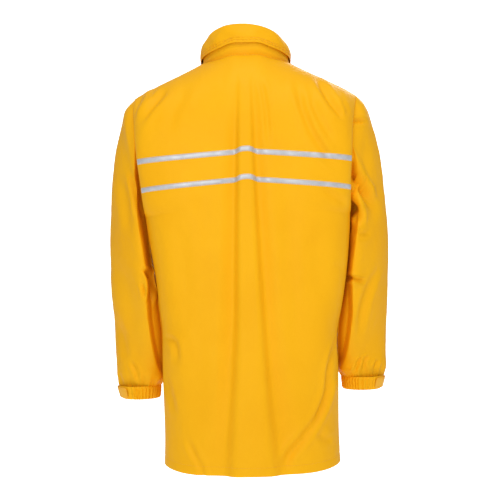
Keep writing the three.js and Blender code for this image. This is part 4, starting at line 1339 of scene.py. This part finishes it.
class Finish:
    """A Principled material with short calls for the textures that shape it."""

    def __init__(self, name, colour, roughness, metallic=0.0, **sockets):
        self.material = bpy.data.materials.new(name)
        self.material.use_nodes = True
        self.nodes = self.material.node_tree.nodes
        self.links = self.material.node_tree.links
        self.shader = self.nodes["Principled BSDF"]
        self.shader.inputs["Base Color"].default_value = (*colour, 1)
        self.shader.inputs["Roughness"].default_value = roughness
        self.shader.inputs["Metallic"].default_value = metallic
        for socket, value in sockets.items():
            self.shader.inputs[socket.replace("_", " ")].default_value = value
        self.place = self.nodes.new("ShaderNodeTexCoord").outputs["Object"]
        self.bump = None

    def stretched(self, scale):
        mapping = self.nodes.new("ShaderNodeMapping")
        mapping.inputs["Scale"].default_value = scale
        self.links.new(self.place, mapping.inputs["Vector"])
        return mapping.outputs["Vector"]

    def noise(self, scale, detail=2.0, roughness=0.5, place=None):
        texture = self.nodes.new("ShaderNodeTexNoise")
        texture.inputs["Scale"].default_value = scale
        texture.inputs["Detail"].default_value = detail
        texture.inputs["Roughness"].default_value = roughness
        self.links.new(place or self.place, texture.inputs["Vector"])
        return texture.outputs["Fac"]

    def cells(self, scale):
        texture = self.nodes.new("ShaderNodeTexVoronoi")
        texture.inputs["Scale"].default_value = scale
        self.links.new(self.place, texture.inputs["Vector"])
        return texture.outputs["Distance"]

    def bands(self, scale, axis):
        texture = self.nodes.new("ShaderNodeTexWave")
        texture.bands_direction = axis
        texture.inputs["Scale"].default_value = scale
        texture.inputs["Distortion"].default_value = 0.4
        self.links.new(self.place, texture.inputs["Vector"])
        return texture.outputs["Fac"]

    def colour_by(self, value, low, high, places=(0.3, 0.7)):
        ramp = self.nodes.new("ShaderNodeValToRGB")
        for element, place, colour in zip(ramp.color_ramp.elements, places, (low, high)):
            element.position = place
            element.color = (*colour, 1)
        self.links.new(value, ramp.inputs["Fac"])
        self.links.new(ramp.outputs["Color"], self.shader.inputs["Base Color"])

    def roughness_by(self, value, low, high):
        spread = self.nodes.new("ShaderNodeMapRange")
        spread.inputs["To Min"].default_value = low
        spread.inputs["To Max"].default_value = high
        self.links.new(value, spread.inputs["Value"])
        self.links.new(spread.outputs["Result"], self.shader.inputs["Roughness"])

    def relief(self, height, depth, strength):
        """Adds bump of a depth in metres on top of any bump already there."""
        bump = self.nodes.new("ShaderNodeBump")
        bump.inputs["Distance"].default_value = depth
        bump.inputs["Strength"].default_value = strength
        self.links.new(height, bump.inputs["Height"])
        if self.bump:
            self.links.new(self.bump.outputs["Normal"], bump.inputs["Normal"])
        self.links.new(bump.outputs["Normal"], self.shader.inputs["Normal"])
        self.bump = bump


def coated_finish(name, deep, bright, roughness=0.5):
    """Smooth polyurethane-coated cloth: a fine pebbled skin, faint soft creasing and a satin sheen."""
    finish = Finish(name, bright, roughness, Specular_IOR_Level=0.1)
    finish.colour_by(finish.noise(9, 3), deep, bright, (0.35, 0.62))
    finish.roughness_by(finish.noise(38, 3), roughness - 0.07, roughness + 0.08)
    finish.relief(finish.noise(46, 4, 0.55), 0.0016, 0.5)
    finish.relief(finish.noise(190, 3), 0.00030, 0.45)
    finish.relief(finish.cells(1500), 0.00006, 0.5)
    return finish.material


def knit_finish(name, deep, bright):
    """The knitted inner face of the coated cloth: fine ribs of loops."""
    finish = Finish(name, bright, 0.85, Sheen_Weight=0.25, Sheen_Roughness=0.5)
    finish.colour_by(finish.noise(120, 3), deep, bright)
    finish.relief(finish.bands(420, "X"), 0.00018, 0.6)
    finish.relief(finish.bands(300, "Z"), 0.00014, 0.5)
    return finish.material


def reflective_finish(name):
    """A film of tiny glass beads on a silver ground."""
    finish = Finish(name, (0.66, 0.68, 0.72), 0.38, 0.25, Specular_IOR_Level=0.5)
    finish.colour_by(finish.noise(60, 4), (0.49, 0.50, 0.525), (0.62, 0.63, 0.655))
    finish.roughness_by(finish.noise(200, 2), 0.3, 0.48)
    finish.relief(finish.cells(2600), 0.00005, 0.6)
    finish.relief(finish.noise(110, 2), 0.0003, 0.4)
    return finish.material


def woven_finish(name, deep, bright, scale=700):
    """Plain woven threads, `scale` setting how fine."""
    finish = Finish(name, bright, 0.8, Sheen_Weight=0.2)
    finish.colour_by(finish.noise(300, 2), deep, bright)
    finish.relief(finish.bands(scale, "X"), 0.0002, 0.6)
    finish.relief(finish.bands(scale * 0.8, "Z"), 0.0002, 0.6)
    return finish.material


def moulded_finish(name, colour):
    """Plain moulded plastic."""
    finish = Finish(name, colour, 0.4)
    finish.roughness_by(finish.noise(260, 3), 0.34, 0.5)
    finish.relief(finish.noise(500, 2), 0.00004, 0.4)
    return finish.material


def metal_finish(name, dark, bright, roughness):
    """Plated metal with faint polishing marks and handling wear."""
    finish = Finish(name, bright, roughness, 1.0)
    finish.colour_by(finish.noise(180, 4), dark, bright, (0.25, 0.6))
    finish.roughness_by(finish.noise(420, 5, 0.7), roughness - 0.08, roughness + 0.14)
    finish.relief(finish.noise(900, 3, place=finish.stretched((1, 1, 0.15))), 0.00002, 0.4)
    return finish.material


def pile_finish(name, deep, bright):
    """Hook-and-loop tape: a dense pile of short threads."""
    finish = Finish(name, bright, 0.95, Sheen_Weight=0.4)
    finish.colour_by(finish.cells(1100), deep, bright, (0.1, 0.7))
    finish.relief(finish.cells(900), 0.0004, 0.8)
    finish.relief(finish.noise(1600, 3), 0.0002, 0.7)
    return finish.material


def studio_finish(name, glow):
    """Matt white that also glows, so that it reads as evenly lit paper."""
    finish = Finish(name, (0.93, 0.93, 0.93), 0.9, Emission_Strength=glow)
    finish.shader.inputs["Emission Color"].default_value = (1, 1, 1, 1)
    finish.relief(finish.noise(30, 2), 0.0002, 0.1)
    return finish.material


# ---------------------------------------------------------------- studio

CAMERA_DISTANCE = 2.5
CAMERA_HEIGHT = 430
CAMERA_LENS = 90
CAMERA_ROLL = math.radians(-1)

# The stage, in metres.
FLOOR_BELOW_HEM = 1.4
FLOOR_REACH = 9.5
SCREEN_REACH = 5.0
SCREEN_HALF_WIDTH = 1.9
SCREEN_HEIGHT = 3.5

# Each soft lamp: where it stands, what it aims at, its size and its power.
LAMPS = {
    "key": ((-0.9, 2.0, 1.6), (0, 0, -0.2), (0.8, 0.8), 14),
    "front": ((0.55, 2.9, 0.1), (0, 0, -0.3), (0.8, 0.8), 16.5),
    "top": ((0.0, 1.2, 2.3), (0, 0, -0.1), (1.0, 0.8), 17),
    "overhead": ((0.1, 0.1, 2.6), (0, 0, -0.1), (1.6, 1.2), 4),
    "front_fill": ((-0.9, -2.4, 1.0), (0, 0, -0.3), (1.0, 1.0), 13),
}
WORLD_STRENGTH = 0.43


def studio_camera():
    data = bpy.data.cameras.new("camera")
    data.lens = CAMERA_LENS
    data.sensor_width = 36
    camera = bpy.data.objects.new("camera", data)
    bpy.context.scene.collection.objects.link(camera)
    camera.location = (-0.002, CAMERA_DISTANCE, HEM_LEVEL + CAMERA_HEIGHT * MM)
    facing_back = Vector((0, -1, 0)).to_track_quat("-Z", "Y")
    camera.rotation_mode = "QUATERNION"
    camera.rotation_quaternion = facing_back @ Quaternion((0, 0, 1), CAMERA_ROLL)
    bpy.context.scene.camera = camera


def stage_plane(name, low, high, material):
    """A rectangle from one corner to the opposite one, with two of its edges along X."""
    corners = [low, (high[0], *low[1:]), high, (low[0], *high[1:])]
    mesh = bpy.data.meshes.new(name)
    mesh.from_pydata(corners, [], [(0, 1, 2, 3)])
    mesh.materials.append(material)
    plane = bpy.data.objects.new(name, mesh)
    bpy.context.scene.collection.objects.link(plane)


def backdrop(floor_finish, wall_finish):
    """A pale floor, and a white screen that fills the picture behind the jacket."""
    floor = HEM_LEVEL - FLOOR_BELOW_HEM
    near, far = (-FLOOR_REACH, -FLOOR_REACH, floor), (FLOOR_REACH, FLOOR_REACH, floor)
    stage_plane("studio_floor", near, far, floor_finish)
    foot = (-SCREEN_HALF_WIDTH, -SCREEN_REACH, floor + 0.01)
    head = (SCREEN_HALF_WIDTH, -SCREEN_REACH, floor + SCREEN_HEIGHT)
    stage_plane("studio_screen", foot, head, wall_finish)


def softbox(name, place, aim, size, power):
    data = bpy.data.lights.new(name, "AREA")
    data.shape = "RECTANGLE"
    data.size, data.size_y = size
    data.energy = power
    lamp = bpy.data.objects.new(name, data)
    bpy.context.scene.collection.objects.link(lamp)
    lamp.location = place
    lamp.rotation_euler = (Vector(aim) - Vector(place)).to_track_quat("-Z", "Y").to_euler()


def studio_light():
    world = bpy.data.worlds.new("studio")
    bpy.context.scene.world = world
    world.use_nodes = True
    background = world.node_tree.nodes["Background"]
    background.inputs["Color"].default_value = (1, 1, 1, 1)
    background.inputs["Strength"].default_value = WORLD_STRENGTH
    for name, lamp in LAMPS.items():
        softbox(name, *lamp)
    view = bpy.context.scene.view_settings
    view.view_transform = "Standard"
    view.look = "None"
    view.exposure = 0


# ---------------------------------------------------------------- the jacket

YELLOW = (0.955, 0.470, 0.006)
YELLOW_DEEP = (0.935, 0.448, 0.005)
PALE_YELLOW = (0.965, 0.500, 0.045)
PALE_YELLOW_DEEP = (0.930, 0.455, 0.035)


def build_jacket():
    coated = coated_finish("coated_cloth", YELLOW_DEEP, YELLOW)
    pale = coated_finish("pale_coated_cloth", PALE_YELLOW_DEEP, PALE_YELLOW, 0.55)
    knit = knit_finish("knitted_backing", (0.62, 0.30, 0.030), (0.75, 0.40, 0.055))
    lining = knit_finish("lining_cloth", (0.70, 0.31, 0.012), (0.83, 0.39, 0.02))
    film = reflective_finish("reflective_tape")
    elastic = woven_finish("elastic_band", (0.66, 0.63, 0.56), (0.82, 0.80, 0.74), 500)
    zip_weave = woven_finish("zip_weave", (0.62, 0.27, 0.008), (0.74, 0.34, 0.012))
    zip_teeth = moulded_finish("zip_moulding", (0.74, 0.33, 0.010))
    zip_metal = metal_finish("zip_metal", (0.30, 0.30, 0.31), (0.48, 0.48, 0.49), 0.32)
    snap_metal = metal_finish("snap_metal", (0.42, 0.42, 0.43), (0.60, 0.60, 0.61), 0.26)
    fuzz = pile_finish("hook_and_loop", (0.50, 0.22, 0.008), (0.78, 0.37, 0.02))
    thread = woven_finish("sewing_thread", (0.86, 0.39, 0.006), (0.93, 0.44, 0.008), 2600)

    back_panel(coated, knit)
    for word, row in TAPE_ROWS.items():
        reflective_tape(word, row, film)
    body_stitching(thread)
    for side, word in SIDES:
        front_panel(side, word, coated, knit)
        sleeve(side, word, coated)
        cuff_casing(side, word, coated, knit)
        cuff_elastic(side, word, elastic)
        cuff_tab(side, word, pale)
        cuff_loop_patch(side, word, fuzz)
        zip_half(side, word, zip_weave, zip_teeth)
        front_pocket(side, word, coated, snap_metal)
    collar_stand(coated)
    collar_upper_band(coated)
    collar_stitching(thread)
    collar_lining(lining)
    collar_hook_strip(fuzz)
    rolled_hood(lining)
    hanger_loop(coated)
    zip_hardware(zip_metal)
    zip_guard(lining)
    storm_flap(coated)
    storm_flap_snaps(snap_metal)


studio_camera()
build_jacket()
backdrop(studio_finish("studio_floor_white", 0.45), studio_finish("studio_screen_white", 0.97))
studio_light()
